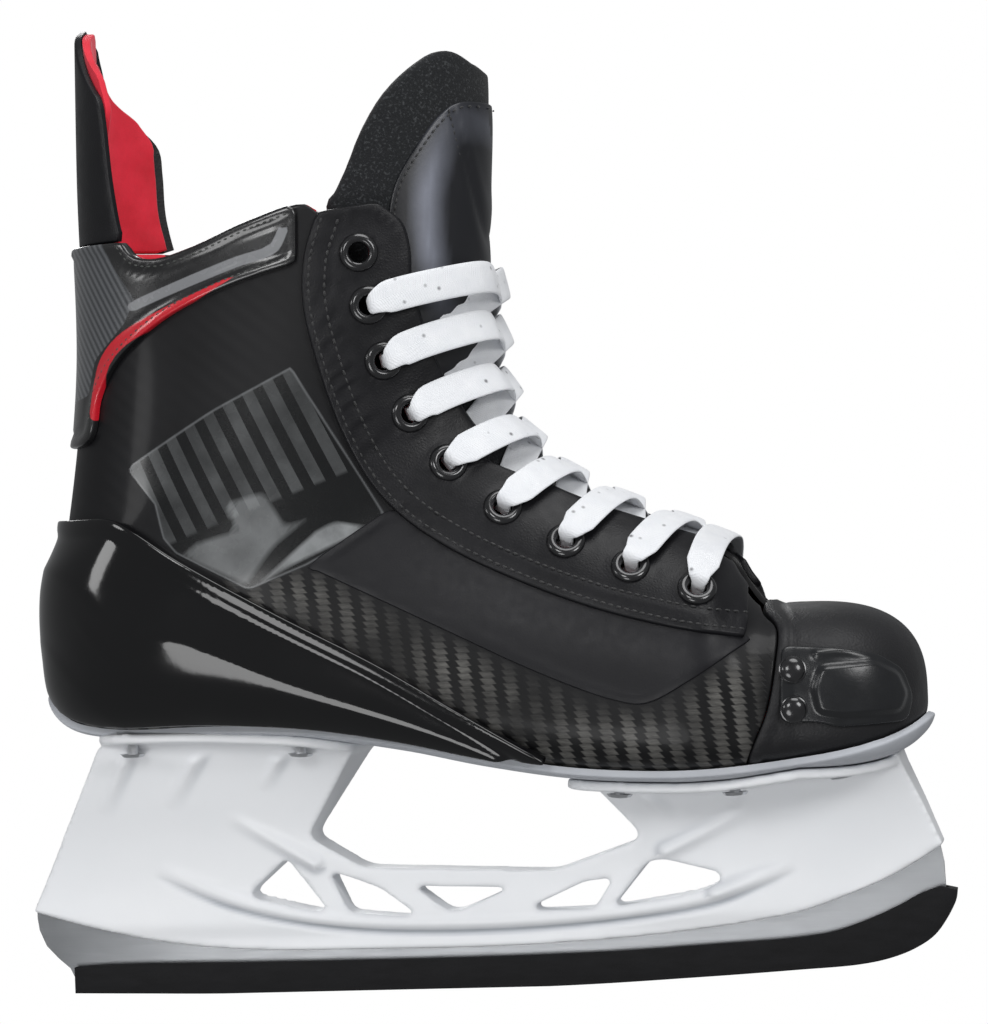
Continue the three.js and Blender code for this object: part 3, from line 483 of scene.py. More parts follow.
def line_distance(points, line, closed=False):
    """Distance in the side view to a line, the share along it, and which side of it."""
    flat = points[..., (0, 2)].reshape(-1, 2)
    a = np.asarray(line, float)
    b = np.roll(a, -1, 0) if closed else a[1:]
    a = a if closed else a[:-1]
    lengths = np.linalg.norm(b - a, axis=1)
    start = np.cumsum(lengths) - lengths
    best = np.full(len(flat), 1e9)
    share, hand = np.zeros(len(flat)), np.ones(len(flat))
    for p, q, size, first in zip(a, b, lengths, start):
        if size < 1e-6:
            continue
        way = (q - p) / size
        t = np.clip((flat - p) @ way, 0, size)
        away = flat - p - t[:, None] * way
        distance = np.hypot(*away.T)
        near = distance < best - 1e-9
        best[near] = distance[near]
        share[near] = (first + t[near]) / lengths.sum()
        hand[near] = np.sign(way[0] * away[near, 1] - way[1] * away[near, 0] + 1e-12)
    shape = points.shape[:-1]
    return best.reshape(shape), share.reshape(shape), hand.reshape(shape)


def inside(points, outline):
    """Distance in the side view inside a closed outline, negative outside."""
    distance = line_distance(points, outline, closed=True)[0]
    x, z = points[..., 0], points[..., 2]
    odd = np.zeros(x.shape, bool)
    for (x0, z0), (x1, z1) in zip(outline, np.roll(outline, -1, 0)):
        if z0 != z1:
            odd ^= ((z0 > z) != (z1 > z)) & (x < (x1 - x0) * (z - z0) / (z1 - z0) + x0)
    return np.where(odd, distance, -distance)


def clip_cells(depth, points, normals):
    """Cuts the grid along depth = 0 and keeps what is above: points, normals, depths, faces."""
    rows, columns = depth.shape
    index = np.arange(rows * columns).reshape(rows, columns)
    index[0] = 0
    flat, turned, deep = points.reshape(-1, 3), normals.reshape(-1, 3), depth.ravel()
    right = np.roll(index, -1, 1)
    cells = np.stack([index[:-1], right[:-1], right[1:], index[1:]], -1).reshape(-1, 4)
    corner = deep[cells]
    whole = (corner >= 0).all(1) & (corner > 0).any(1)
    cut = (corner > 0).any(1) & (corner < 0).any(1)
    faces = [list(dict.fromkeys(cell)) for cell in cells[whole].tolist()]
    added, extra = {}, []
    for cell in cells[cut].tolist():
        cell = list(dict.fromkeys(cell))
        face = []
        for a, b in zip(cell, cell[1:] + cell[:1]):
            if deep[a] >= 0:
                face.append(a)
            if deep[a] * deep[b] < 0:
                key = (min(a, b), max(a, b))
                if key not in added:
                    t = deep[key[0]] / (deep[key[0]] - deep[key[1]])
                    added[key] = len(flat) + len(extra)
                    extra.append((key[0], key[1], t))
                face.append(added[key])
        if len(face) > 2:
            faces.append(face)
    if extra:
        a, b, t = (np.array(column) for column in zip(*extra))
        a, b, t = a.astype(int), b.astype(int), t[:, None]
        flat = np.vstack([flat, flat[a] * (1 - t) + flat[b] * t])
        turned = np.vstack([turned, turned[a] * (1 - t) + turned[b] * t])
        deep = np.concatenate([deep, np.zeros(len(a))])
    used = np.unique(np.concatenate([np.array(face) for face in faces]))
    renumber = np.full(len(flat), -1)
    renumber[used] = np.arange(len(used))
    turned = turned / (np.linalg.norm(turned, axis=1)[:, None] + 1e-9)
    return flat[used], turned[used], deep[used], [renumber[face].tolist() for face in faces]


def carry(piece, mark, values):
    """Stores a value at each point of the mesh, which the finish reads with `mark`."""
    layer = piece.data.attributes.new(mark, "FLOAT", "POINT")
    layer.data.foreach_set("value", np.asarray(values, np.float32))


SLIDE = 0.35  # the share of a cell that a point may slide to meet a panel's edge


def panel(name, field, low, high, edge=0.7, steps=3, relief=None, marks=None, inward=False,
          fine=1.8):
    """A sheet from height `low` to `high` above the last where `field` is above 0, with its edges
    rounded by `edge`. `relief` gives extra height from the points and their distance to the
    edge, and `marks` are values for the finish. With `inward`, the side that shows faces in.
    Its points lie about `fine` apart."""
    points, normals = grid(low if inward else high, fine)
    wall = high - low
    depth = field(points) - edge
    slope = np.gradient(depth, axis=0), (np.roll(depth, -1, 1) - np.roll(depth, 1, 1)) / 2
    steep = slope[0] ** 2 + slope[1] ** 2 + 1e-9
    move = [-depth * g / steep for g in slope]
    near = (np.abs(move[0]) < SLIDE) & (np.abs(move[1]) < SLIDE)
    near[[0, -1]] = False
    along = np.gradient(points, axis=0)
    around = (np.roll(points, -1, 1) - np.roll(points, 1, 1)) / 2
    moved = points + along * move[0][..., None] + around * move[1][..., None]
    points = np.where(near[..., None], moved, points)
    depth = np.where(near, 0, depth)
    top, out, deep, faces = clip_cells(depth, points, -normals if inward else normals)
    sample = np.array([face[:3] for face in faces])
    turn = np.cross(top[sample[:, 1]] - top[sample[:, 0]], top[sample[:, 2]] - top[sample[:, 0]])
    if (turn * out[sample[:, 0]]).sum(1).mean() < 0:
        faces = [face[::-1] for face in faces]
    bottom = top - out * wall
    if relief:
        top = top + out * relief(top, deep + edge)[:, None]
    directed = {(a, b) for face in faces for a, b in zip(face, face[1:] + face[:1])}
    border = [(a, b) for a, b in directed if (b, a) not in directed]
    rim = sorted({a for pair in border for a in pair})
    slot_of = {vertex: i for i, vertex in enumerate(rim)}
    outward = np.zeros((len(rim), 3))
    for a, b in border:
        way = np.cross(top[b] - top[a], out[a] + out[b])
        way /= np.linalg.norm(way) + 1e-9
        outward[slot_of[a]] += way
        outward[slot_of[b]] += way
    outward /= np.linalg.norm(outward, axis=1)[:, None] + 1e-9
    rings = []
    for k in range(1, steps + 1):
        angle = k / steps * math.pi / 2
        rings.append(top[rim] + outward * edge * math.sin(angle)
                     - out[rim] * edge * (1 - math.cos(angle)))
    rings.append(bottom[rim] + outward * edge)
    count = len(top)
    vertices = np.vstack([top, *rings, bottom])
    levels = [np.array(rim)]
    levels += [count + k * len(rim) + np.arange(len(rim)) for k in range(len(rings))]
    levels.append(count + len(rings) * len(rim) + np.array(rim))
    shift = count + len(rings) * len(rim)
    back = [[vertex + shift for vertex in reversed(face)] for face in faces]
    for a, b in border:
        i, j = slot_of[a], slot_of[b]
        for upper, lower in zip(levels, levels[1:]):
            faces.append([upper[j], upper[i], lower[i], lower[j]])
    piece = make(name, vertices, faces + back, 60)
    for mark, value in (marks or {}).items():
        carry(piece, mark, value(vertices))
    return piece


def bead(distance, at, width):
    """The height of a round bead: 1 where the distance is `at`."""
    return np.exp(-(((distance - at) / width) ** 2))


HALVINGS = 40  # of the boot's length, to find a place along it


def locate(points, offset):
    """Where side-view points lie on the surface: how far along, and how far across."""
    points = np.asarray(points, float)
    low, high = np.zeros(len(points)), np.full(len(points), float(LAST))
    for _ in range(HALVINGS):
        s = (low + high) / 2
        row = section(s, offset)
        line = row[:, 0:2] - row[:, 2:4]
        away = points - row[:, 2:4]
        ahead = line[:, 0] * away[:, 1] - line[:, 1] * away[:, 0] > 0
        low, high = np.where(ahead, s, low), np.where(ahead, high, s)
    row = section(low, offset)
    line = row[:, 0:2] - row[:, 2:4]
    share = ((points - row[:, 2:4]) * line).sum(1) / (line**2).sum(1)
    under = share < row[:, 6]
    height = np.abs(share - row[:, 6]) / np.where(under, row[:, 6], 1 - row[:, 6])
    height = np.minimum(height, 1)
    square = np.where(under, row[:, 7], row[:, 8])
    angle = np.arctan2(height, (1 - height**square) ** (1 / square))
    return low, np.where(under, -1, 1) * angle * 2 / np.pi


def on_side(points, offset, side):
    """The surface points above side-view points on one side, and their normals."""
    points = np.asarray(points, float)
    at = lambda move: surface(*locate(points + move, offset), np.full(len(points), side), offset)
    normals = np.cross(at((2, 0)) - at((-2, 0)), at((0, 2)) - at((0, -2)))
    normals /= np.linalg.norm(normals, axis=1)[:, None]
    return at((0, 0)), normals * np.where(normals[:, 1] * side < 0, -1, 1)[:, None]


KEEL = smooth(
    [(-160, 128), (-150, 104), (-141, 94.5), (-126, 90.6), (-90, 90.3), (-54, 88.8), (-22, 84),
     (6, 78), (36, 73.2), (66, 71.4), (92, 72.3), (128, 77.2), (148, 84), (160, 93)], 5)


def over_keel(points):
    """Height above the boot's bottom line."""
    return points[..., 2] - np.interp(points[..., 0], *KEEL.T)


SIDE = {"outer": -1, "inner": 1}

# ---- Holder
# One white nylon moulding: two hollow towers that flare out to flanges under the sole, joined
# by an open truss over the beam that grips the runner. Ribs run down from the flanges, and a
# shallow ledge follows the beam. Painted shade darkens its groove and one side of each rib.
holder_lower = smooth(
    [(154.2, 44.5), (139, 35.6), (122, 28.4), (105, 23), (71, 17.9), (44, 15.6), (3, 13.8),
     (-32, 13.8), (-84, 14.8), (-112, 17.9), (-136, 23.3), (-150.5, 27.3), (-158, 29.7)])
HOLDER_HALF = 60  # of the blank, before it is cut to the trumpet
FLANGE_HEIGHTS = 3.0, 6.4  # below the boot's own surface
holder_top = [(x, z - 4.4) for x, z in KEEL if -126 < x < 141]
holder = prism(
    "holder",
    [*holder_lower, (-144, 58), (-129.3, 85.8), *holder_top, (142.3, 72.3), (148.4, 58.8)],
    -HOLDER_HALF, HOLDER_HALF)
trumpet = smooth(
    [(4.9, 10), (4.9, 18), (6.5, 24), (7, 34), (8.5, 44), (11, 55), (14.5, 66), (18, 76), (21, 84),
     (21, 100)])
trumpet = [*trumpet, *(trumpet * (-1, 1))[::-1]]
carve(holder, prism("trumpet", trumpet, -FAR, FAR, "x"), "INTERSECT")
WINDOWS = [  # how far their corners are rounded, and their outlines
    (4, [(-35, 91), (-40.3, 84), (-60.1, 53.1), (-41.5, 42), (23.4, 39.2), (51.8, 48.5),
         (53.2, 51.5), (40, 66.7), (30, 76), (0, 84)]),
    (2.5, [(-81.3, 34.6), (-68.2, 46), (-55.3, 28.2), (-58, 27.2), (-80, 32.6)]),
    (2.5, [(-53.6, 40.2), (-49.9, 40), (-36.1, 34.6), (-25.2, 26), (-27.2, 24.6), (-47.5, 27)]),
    (2.5, [(-25.1, 35.2), (8.5, 33.8), (-9.6, 26.5), (-13.7, 26.7)]),
    (2.5, [(12.3, 25.9), (33.5, 35.2), (43.4, 36.2), (36.5, 26)]),
    (2.5, [(42.5, 26.3), (55.5, 41.6), (61.3, 42), (79.5, 37), (79.3, 33.4), (71.3, 30.6)]),
]
for radius, outline in WINDOWS:
    carve(holder, prism("window", rounded(outline, radius), -HOLDER_HALF - 10, HOLDER_HALF + 10))

FLANGES = {  # how far their corners are rounded, and their plan outlines
    "rear": (6, [(-129, -25), (-120, -31), (-55, -31), (-41, -25), (-41, 25), (-55, 31),
                 (-120, 31), (-129, 25)]),
    "front": (8, [(31, -28), (50, -34), (90, -38), (126, -34), (142, -22), (142, 22), (126, 34),
                  (90, 38), (50, 35), (31, 29)]),
}


def flange_field(outline):
    """A field for a plan outline on the boot's underside."""
    return lambda p: np.minimum(inside(p[..., (0, 2, 1)], outline), 14 - over_keel(p))


for name, (radius, outline) in FLANGES.items():
    field = flange_field(rounded(outline, radius))
    flange = panel(f"{name}_flange", field, *FLANGE_HEIGHTS, 0.9)
    with_flange = bmesh.new()
    with_flange.from_mesh(holder.data)
    with_flange.from_mesh(flange.data)
    with_flange.to_mesh(holder.data)
    with_flange.free()
    bpy.data.objects.remove(flange)

change(holder, "REMESH", mode="VOXEL", voxel_size=0.85 * mm)
change(holder, "SMOOTH", factor=0.5, iterations=5)

LEDGE = smooth([(-115, 41.1), (-89.2, 29.5), (-50.7, 21), (15.5, 19.4), (73.1, 25.4), (92.5, 31.6),
                (106.2, 37.6)])
RIBS = [  # from its foot under the flange or at a window to its tip, height, half-width
    ((-117, 87), (-131, 62.9), 1.9, 2.2), ((-92, 87), (-107.3, 64.6), 1.9, 2.2),
    ((-63, 87), (-74.5, 69.7), 1.8, 2.0), ((-58, 44), (-87, 61.5), 1.7, 2.0),
    ((62, 45), (92, 58.5), 1.5, 2.2), ((52, 68), (64.5, 56), 1.4, 1.8),
    ((78, 70), (88, 58.6), 1.5, 1.8), ((78, 30), (104, 38.5), 1.1, 2.0),
]
coordinates = np.empty(len(holder.data.vertices) * 3)
holder.data.vertices.foreach_get("co", coordinates)
points = coordinates.reshape(-1, 3) / mm
normals = np.empty(len(points) * 3)
holder.data.vertex_normals.foreach_get("vector", normals)
normals = normals.reshape(-1, 3)
sideways = np.clip((np.abs(normals[:, 1]) - 0.35) / 0.4, 0, 1)
below_boot = np.clip((-over_keel(points) - 6.6) / 3, 0, 1)
distance, share, hand = line_distance(points, LEDGE)
ends = np.clip(np.minimum(share, 1 - share) * 9, 0, 1)
# The ledge's groove: sunk into the shape below, and carried as a mark that paints shade into the
# colour.
groove = bead(distance, 0, 1.0) * ends
height = -1.3 * groove + 1.1 * bead(distance * hand, 3.4, 2.2) * ends
for foot, tip, rib_height, half_width in RIBS:
    distance, share, hand = line_distance(points, [foot, tip])
    fade = (1 - share) * below_boot
    height += rib_height * 1.5 * bead(distance, 0, half_width) * fade
    # Painted shade only: a dark band along one side of each rib, with no groove in the shape.
    groove += 0.45 * bead(distance * hand, half_width * 1.5, 1.3) * fade
carry(holder, "groove", groove * sideways)
points += normals * (height * sideways)[:, None]
holder.data.vertices.foreach_set("co", (points * mm).ravel())
holder.data.shade_smooth()

nylon = Finish("holder_plastic", Subsurface_Weight=0.12, Subsurface_Radius=(1.0, 1.0, 1.0),
               Subsurface_Scale=0.002, Specular_IOR_Level=0.45)
flow = nylon.noise(45, 4)
nylon.set(
    Base_Color=nylon.mix(
        # Painted shade: the groove mark darkens the nylon towards blue-grey.
        (nylon.mark("groove") * 0.75).held(),
        nylon.mix(flow, (0.84, 0.86, 0.89), (0.91, 0.92, 0.94)), (0.3, 0.33, 0.38)),
    Roughness=0.3 + 0.16 * nylon.noise(7, 4),
)
nylon.bump(nylon.noise(0.8, 3), 0.015)
fit(holder, nylon, ["holder"])

# ---- Bolts and rivets
# Zinc-plated machine bolts hold the runner in the towers, and steel rivets clinch the flanges
# to the boot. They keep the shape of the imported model.
zinc = Finish("fastener_steel", Metallic=1.0)
plating = zinc.noise(3, 4)
zinc.set(
    Base_Color=zinc.mix(plating, (0.42, 0.43, 0.45), (0.68, 0.69, 0.71)),
    Roughness=0.24 + 0.2 * plating,
)
for name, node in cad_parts.items():
    if name.endswith(("_bolt", "_nut")) or "sole_rivet" in name:
        coat(node, zinc)

# ---- Sole
# A grey moulded outsole closes the underside. Inside, a fibre lasting board covers the edges of
# the lasted upper, and the footbed lies on it: moulded foam with a knitted top cloth.
OUTSOLE, BOARD, FOOTBED = 2.4, 2, 4
LINED = -SHELL - CLEARANCE  # the height of what lies against the inside of the shell


def up_to(height):
    """A field for a piece under or in the boot, up to a height over its bottom line."""
    return lambda p: height - over_keel(p)


def crown(rise, run, sunk=0):
    """A relief that rises softly from a padded piece's edge."""
    return lambda p, edge_distance: rise * (1 - np.exp(-edge_distance / run)) - sunk


outsole = panel("outsole", up_to(0.5), CLEARANCE, CLEARANCE + OUTSOLE, 0.8)
sole_grey = Finish("sole_board", Roughness=0.6)
sole_grey.set(
    Base_Color=sole_grey.mix(sole_grey.noise(14, 4), (0.42, 0.44, 0.48), (0.6, 0.62, 0.66)))
sole_grey.bump(sole_grey.noise(1.2, 4), 0.08)
fit(outsole, sole_grey, ["outsole"])

board = panel("lasting_board", up_to(8), LINED - BOARD, LINED, 0.5)
fibre = Finish("last_board", Roughness=0.85)
fibre.set(
    Base_Color=fibre.mix(fibre.noise(2, 6, (0.2, 1, 1)), (0.16, 0.15, 0.14), (0.34, 0.33, 0.31)))
fit(board, fibre, ["lasting_board"])

on_board = LINED - BOARD - CLEARANCE
footbed = panel("footbed", up_to(11), on_board - FOOTBED, on_board, 1.2, 4, inward=True,
                relief=crown(0.8, 5))
knit = Finish("footbed_foam", Roughness=0.9, Sheen_Weight=0.3)
loops = (knit.axis("Y") * 4.2).sine() * (knit.axis("X") * 4.2).sine()
knit.set(Base_Color=knit.mix(loops * 0.5 + 0.5, (0.03, 0.03, 0.034), (0.09, 0.09, 0.1)))
knit.bump(loops, 0.12)
fit(footbed, knit, ["footbed"])

# ---- Quarters
# The two sides of the boot are moulded twill composite under clear resin. Above the heel cup
# they carry embossed black film, with a clear printed window of plain grey bars. A painted
# reflection lightens the lower part of the window.
throat_edge = smooth(
    [(-22, 264.5), (-14.5, 258), (-12.2, 249), (-12, 238), (-9, 224), (-4.5, 209), (3, 194),
     (12, 182), (20, 175)])
throat_side = np.array([*throat_edge, (60, 175), (60, 300), (-22, 300)])
THROAT_HALF = [(8, 27), (30, 22), (60, 21), (112, 21)]  # half the gap, from heel to toe
INSTEP_LOW = 110
toe_seam = smooth(
    [(90, 66), (96, 80), (101.5, 93), (104.3, 107), (104.6, 119), (100, 124), (98.5, 128),
     (98.5, 140)])
collar_top = smooth([(-42, 262), (-46, 265), (-64, 260.5), (-85, 252.5), (-98, 249.5),
                     (-106, 251), (-110, 255.9)])
quarter_outline = np.array([
    *(toe_seam - (CLEARANCE, 0)), (98, 200), (60, 300), (-22, 300), (-22, 264.5), *collar_top,
    (-180, 255.9), (-180, 60)])
EYELET_PLACES = [(-28.5, 248), (-26, 230.5), (-22, 212), (-14.5, 194.3), (-2.8, 177.5), (15, 162),
                 (36, 150), (57.5, 141), (79.5, 133)]
EYELET_ROOM = 4.5
OVERLAID = CLEARANCE + OVERLAY  # the height of the outside of what is laid over the quarters
eyelet_seats = {name: on_side(EYELET_PLACES, OVERLAID, side) for name, side in SIDE.items()}


def throat(points):
    """Distance outside the gap between the facings."""
    x, y, z = np.moveaxis(points, -1, 0)
    rear, widest = THROAT_HALF[0]
    beside_gap = np.abs(y) - np.interp(x, *zip(*THROAT_HALF))
    behind_gap = np.hypot(rear - x, np.maximum(np.abs(y) - widest, 0))
    plan = np.where(z > INSTEP_LOW, np.where(x > rear, beside_gap, behind_gap), FAR)
    return np.minimum(plan, -inside(points, throat_side))


def eyelet_room(name):
    """A field that keeps a piece out of the eyelet holes of one side."""
    def field(points):
        gaps = [np.linalg.norm(points - at, axis=-1) for at in eyelet_seats[name][0]]
        return np.minimum.reduce(gaps) - EYELET_ROOM
    return field


def one_side(name, outline, middle, *others):
    """A field for a side-view outline on one side of the boot, at least `middle` off its middle
    plane, where the other fields are above 0 too."""
    def field(points):
        across = points[..., 1] * SIDE[name] - middle
        return np.minimum.reduce([inside(points, outline), across, *(f(points) for f in others)])
    return field


WINDOW = np.array([(-111.3, 180.1), (-79.9, 198.1), (-52.3, 211.4), (-22.4, 159.2), (-49.9, 145.1),
                   (-69.8, 137.6), (-94.1, 150.8), (-98.3, 155.9), (-100.9, 167.4)])
WEAVE_TOP = smooth([(-90, 140), (-50.3, 145.1), (-5.6, 122.7), (25.7, 107.5), (51.4, 97.5),
                    (61.9, 96.1), (78, 103.8), (92, 112.7), (106, 120)])
# A light patch on the window: painted reflection.
PAINTED_REFLECTION = np.array([(-78, 167.3), (-62.8, 171), (-56.3, 159.6), (-46.2, 162.1), (-60.6, 151),
                  (-70.1, 138.6), (-93.7, 149.9), (-86.5, 154.9), (-73.3, 158.3)])
STREAK = np.array([(-70.2, 137.3), (-46.4, 157.3), (-40.4, 160), (-25.6, 157.4), (-38.7, 152.1),
                   (-54.9, 144.9)])
quarter_marks = {
    "window": lambda p: inside(p, WINDOW),
    "painted_reflection": lambda p: inside(p, PAINTED_REFLECTION),
    "streak": lambda p: inside(p, STREAK),
    "weave": lambda p: np.multiply(*line_distance(p, WEAVE_TOP)[::2]) * -1,
}

shell = Finish("carbon_weave", Coat_Roughness=0.12, Specular_IOR_Level=0.2)
x, z = shell.axis("X"), shell.axis("Z")
u, v = x + 0.12 * z, z - 0.05 * x
TOW, ROW = 7.4, 2.2  # across a pair of columns of the twill, and up one of its rows
RIDGE_PITCH, BAR_PITCH, BAR_SHARE = 5.2, 7.6, 0.52
row = (v * (1 / ROW)) % 1
column = (u * (1 / TOW) + row * 0.2 + shell.noise(30, 2) * 0.4) % 1
light_tow = ((0.6 - column) * 14).held() * (column * 14).held()
strand = shell.noise(0.9, 4, (0.3, 1, 2.2))
swell = (row * math.pi).sine() ** 0.6
patches = (shell.noise(26, 3) * 4.0 - 1.4).held()
twill = (light_tow * (0.45 + 0.55 * swell) * (0.1 + 1.5 * strand) * (0.15 + patches)).held()
on_weave = (shell.mark("weave") * 1.2 + 0.2).held() * (shell.mark("weave") * 0.11).held()
ridges = ((x * 0.62 + z * 0.78) * (2 * math.pi / RIDGE_PITCH)).sine()
film = shell.mark("window")
on_film = (film * 3).held()
film_edge = (1 - (film - 0.5).size() * 1.6).held()
bar_run = x * 0.9 + z * 0.42
bars = ((bar_run * (1 / BAR_PITCH) % 1) < BAR_SHARE) * ((z - 0.36 * x - 188) * 0.7).held()
# Painted reflection: lighter grey laid into the film's colour.
painted_reflection_patch = (shell.mark("painted_reflection") * 0.5).held() * (0.1 + 0.8 * shell.noise(14, 5))
streak = (shell.mark("streak") * 0.7).held() * (0.2 + 1.3 * shell.noise(7, 5))
worn_away = (1.5 - shell.noise(16, 4) * 1.6).held()
grey = (bars * (0.2 + 0.8 * shell.noise(9, 4)) * 0.45 * worn_away + painted_reflection_patch + streak).held()
body_black = shell.mix(shell.noise(20, 4), (0.003, 0.003, 0.0035), (0.008, 0.008, 0.0095))
short_of_toe = ((101 - x) * 0.09).held()
woven = shell.mix(twill * short_of_toe, (0.003, 0.003, 0.0035), (0.115, 0.112, 0.105))
base = shell.mix(on_weave, body_black, woven)
# The printed bars together with the painted reflection.
print_and_reflection = shell.mix(grey, (0.005, 0.0055, 0.006), (0.24, 0.25, 0.255))
base = shell.mix(on_film, base, print_and_reflection)
shell.set(
    Base_Color=shell.mix(film_edge * 0.8, base, (0.13, 0.135, 0.14)),
    Roughness=0.42 - 0.2 * on_film + 0.1 * shell.noise(5, 3),
    Coat_Weight=0.1 + 0.35 * on_film,
)
emboss = ridges * 0.5 * (1 - on_film) * (1 - on_weave)
resin = shell.noise(0.5, 3)
shell.bump(emboss * 0.2 + twill * on_weave * 0.5 + on_film * 0.9 + resin * 0.08, 0.22)

for name in SIDE:
    field = one_side(name, quarter_outline, CLEARANCE / 2, throat, eyelet_room(name))
    quarter = panel(f"quarter_{name}", field, -SHELL, 0, 0.8, marks=quarter_marks)
    fit(quarter, shell, [f"quarter_{name}"])

# ---- Side panels
# A smooth black overlay, cut from thin synthetic and glued on between the facing and the bare
# twill, with a slight bead just inside its edge.
SIDE_PANEL = np.array([
    *smooth([(-50.3, 145.1), (-5.6, 122.7), (25.7, 107.5), (51.4, 97.5), (61.9, 96.1), (78, 103.8),
             (92, 112.7), (97, 116)]),
    *smooth([(93, 118.5), (73, 122.5), (47, 129.5), (21, 139.5), (-2, 151), (-18, 162.5),
             (-24, 162)])])
overlay = Finish("side_overlay", Specular_IOR_Level=0.22)
sheen = overlay.noise(40, 3)
overlay.set(
    Base_Color=overlay.mix(sheen, (0.005, 0.005, 0.0065), (0.012, 0.012, 0.0145)),
    Roughness=0.3 + 0.22 * overlay.noise(3, 4),
)
overlay.bump(overlay.noise(0.7, 4), 0.03)
for name in SIDE:
    side_panel = panel(f"side_panel_{name}", one_side(name, SIDE_PANEL, 2), -0.4, 0.55, 0.45,
                       relief=lambda p, edge_distance: 0.25 * bead(edge_distance, 2.2, 1.1))
    fit(side_panel, overlay)

# ---- Toe cap
# A moulded cap with a pebbled rubber skin, lasted over the toe and sewn to the quarters. Its edge
# is folded to a welt along the seam.
toe_rubber = Finish("toe_rubber", Specular_IOR_Level=0.3)
pebbles = toe_rubber.cells(0.75, feature="SMOOTH_F1")
toe_rubber.set(
    Base_Color=toe_rubber.mix(
        toe_rubber.noise(18, 5), (0.006, 0.006, 0.007), (0.017, 0.017, 0.019)),
    Roughness=0.42 + 0.22 * toe_rubber.noise(6, 4),
)
toe_rubber.bump(1 - pebbles, 0.11)
toe_outline = np.array([*toe_seam, (180, 160), (180, 60)])


def welt(points, edge_distance):
    return 0.7 * bead(edge_distance, 2.0, 1.1) - 0.35 * bead(edge_distance, 4.6, 0.6)


toe_cap = panel("toe_cap", lambda p: inside(p, toe_outline), -SHELL, 0, 0.8, relief=welt)
fit(toe_cap, toe_rubber, ["toe_cap"])

# ---- Toe bumpers
# Gloss moulded shields over the sides of the toe, with a raised field and a lip along the top.
# Two domed rivets of black enamelled steel hold each one.
bumper_outline = rounded(
    [(106.5, 114), (105.5, 88.5), (118, 88), (124, 86.2), (147, 87), (149, 95), (146, 104.5),
     (138, 110), (119, 113)], 3)
bumper_field = rounded(
    [(119, 106), (116.5, 99), (118, 91.5), (126, 90), (144, 90.5), (146, 96), (143.5, 103),
     (136, 107)], 2)
bumper_lip = smooth([(118, 110.5), (126, 111), (135, 108.6), (143, 104.5)])


def bumper_relief(points, edge_distance):
    raised = np.clip(inside(points, bumper_field), -1, 1)
    lip, share, _ = line_distance(points, bumper_lip)
    return 0.8 * raised + 1.1 * bead(lip, 0, 1.4) * (1 - share)


shield = Finish("toe_shield")
shield.set(
    Base_Color=shield.mix(shield.noise(6, 4), (0.006, 0.0065, 0.0075), (0.013, 0.014, 0.016)),
    Roughness=0.16 + 0.2 * shield.noise(8, 4),
)
shield.bump(shield.noise(1.2, 4), 0.03)
for name in SIDE:
    bumper = panel(f"toe_bumper_{name}", one_side(name, bumper_outline, 20), CLEARANCE, OVERLAID,
                   0.7, relief=bumper_relief, fine=0.8)
    fit(bumper, shield, [f"toe_bumper_{name}"])


def turned(name, profile, at, axis, count=40):
    """A piece turned on a lathe: its profile of radius and height, round `axis` through `at`."""
    axis = Vector(axis).normalized()
    turn = np.array(Vector((0, 0, 1)).rotation_difference(axis).to_matrix())
    rings = []
    for angle in np.linspace(0, 2 * np.pi, count, endpoint=False):
        ring = [(r * math.cos(angle), r * math.sin(angle), h) for r, h in profile]
        rings.append(np.array(ring) @ turn.T + at)
    size = len(profile)
    faces = []
    for i in range(count):
        here, there = i * size, (i + 1) % count * size
        faces += [(here + k, there + k, there + k + 1, here + k + 1) for k in range(size - 1)]
    return face_out(make(name, np.vstack(rings), faces, 35), weld=True)


def fasten(name, profile, seats):
    """Turned pieces of black enamelled metal, one in each seat."""
    for i, (at, axis) in enumerate(zip(*seats)):
        node = f"{name}_{i + 1}"
        fit(turned(node, profile, at, axis), enamel, [node])


enamel = Finish("black_enamel", Metallic=0.4, Coat_Weight=0.6, Coat_Roughness=0.08)
enamel.set(
    Base_Color=enamel.mix(enamel.noise(2, 4), (0.008, 0.008, 0.009), (0.022, 0.022, 0.024)),
    Roughness=0.14 + 0.16 * enamel.noise(1.5, 4),
)
DOME = [(0, 1.75), (1.5, 1.65), (2.8, 1.3), (3.7, 0.75), (4.05, 0.25), (4.4, 0.15), (4.4, -1.0),
        (0, -1.0)]
TOE_RIVET_PLACES = [(110.5, 105.5), (110, 92.5)]
for name, side in SIDE.items():
    fasten(f"toe_rivet_{name}", DOME, on_side(TOE_RIVET_PLACES, OVERLAID, side))

# ---- Heel cup
# A gloss injection-moulded counter round the heel, glued over the quarters. Under the raised rim
# of its top edge a crest runs forward and down to the sole, and its back is creased.
CUP = 3
heel_cup_top = smooth(
    [(34, 74.5), (19, 83.6), (-4, 97.5), (-27, 111.5), (-60, 129.5), (-93, 149), (-108, 159),
     (-116, 163), (-134, 163.5), (-170, 164)])
heel_cup_outline = np.array([*heel_cup_top, (-170, 60), (34, 60)])
CUP_CREST = smooth([(-170, 147), (-150, 147), (-137, 145), (-126, 138.5), (-114, 128), (-91, 120),
                    (-54, 104.5), (2, 84.5), (20, 76)])
CUP_CREASE = np.array([(-170, 128), (-146, 122), (-128, 104), (-110, 84)])
CUP_SPUR = np.array([(-131, 132), (-106, 102)])
CUP_FOOT = 2.4  # over the boot's bottom line


def below(points, line):
    """Distance under a line drawn from heel to toe, negative above it, and the share along it."""
    distance, share, hand = line_distance(points, line)
    return -distance * hand, share


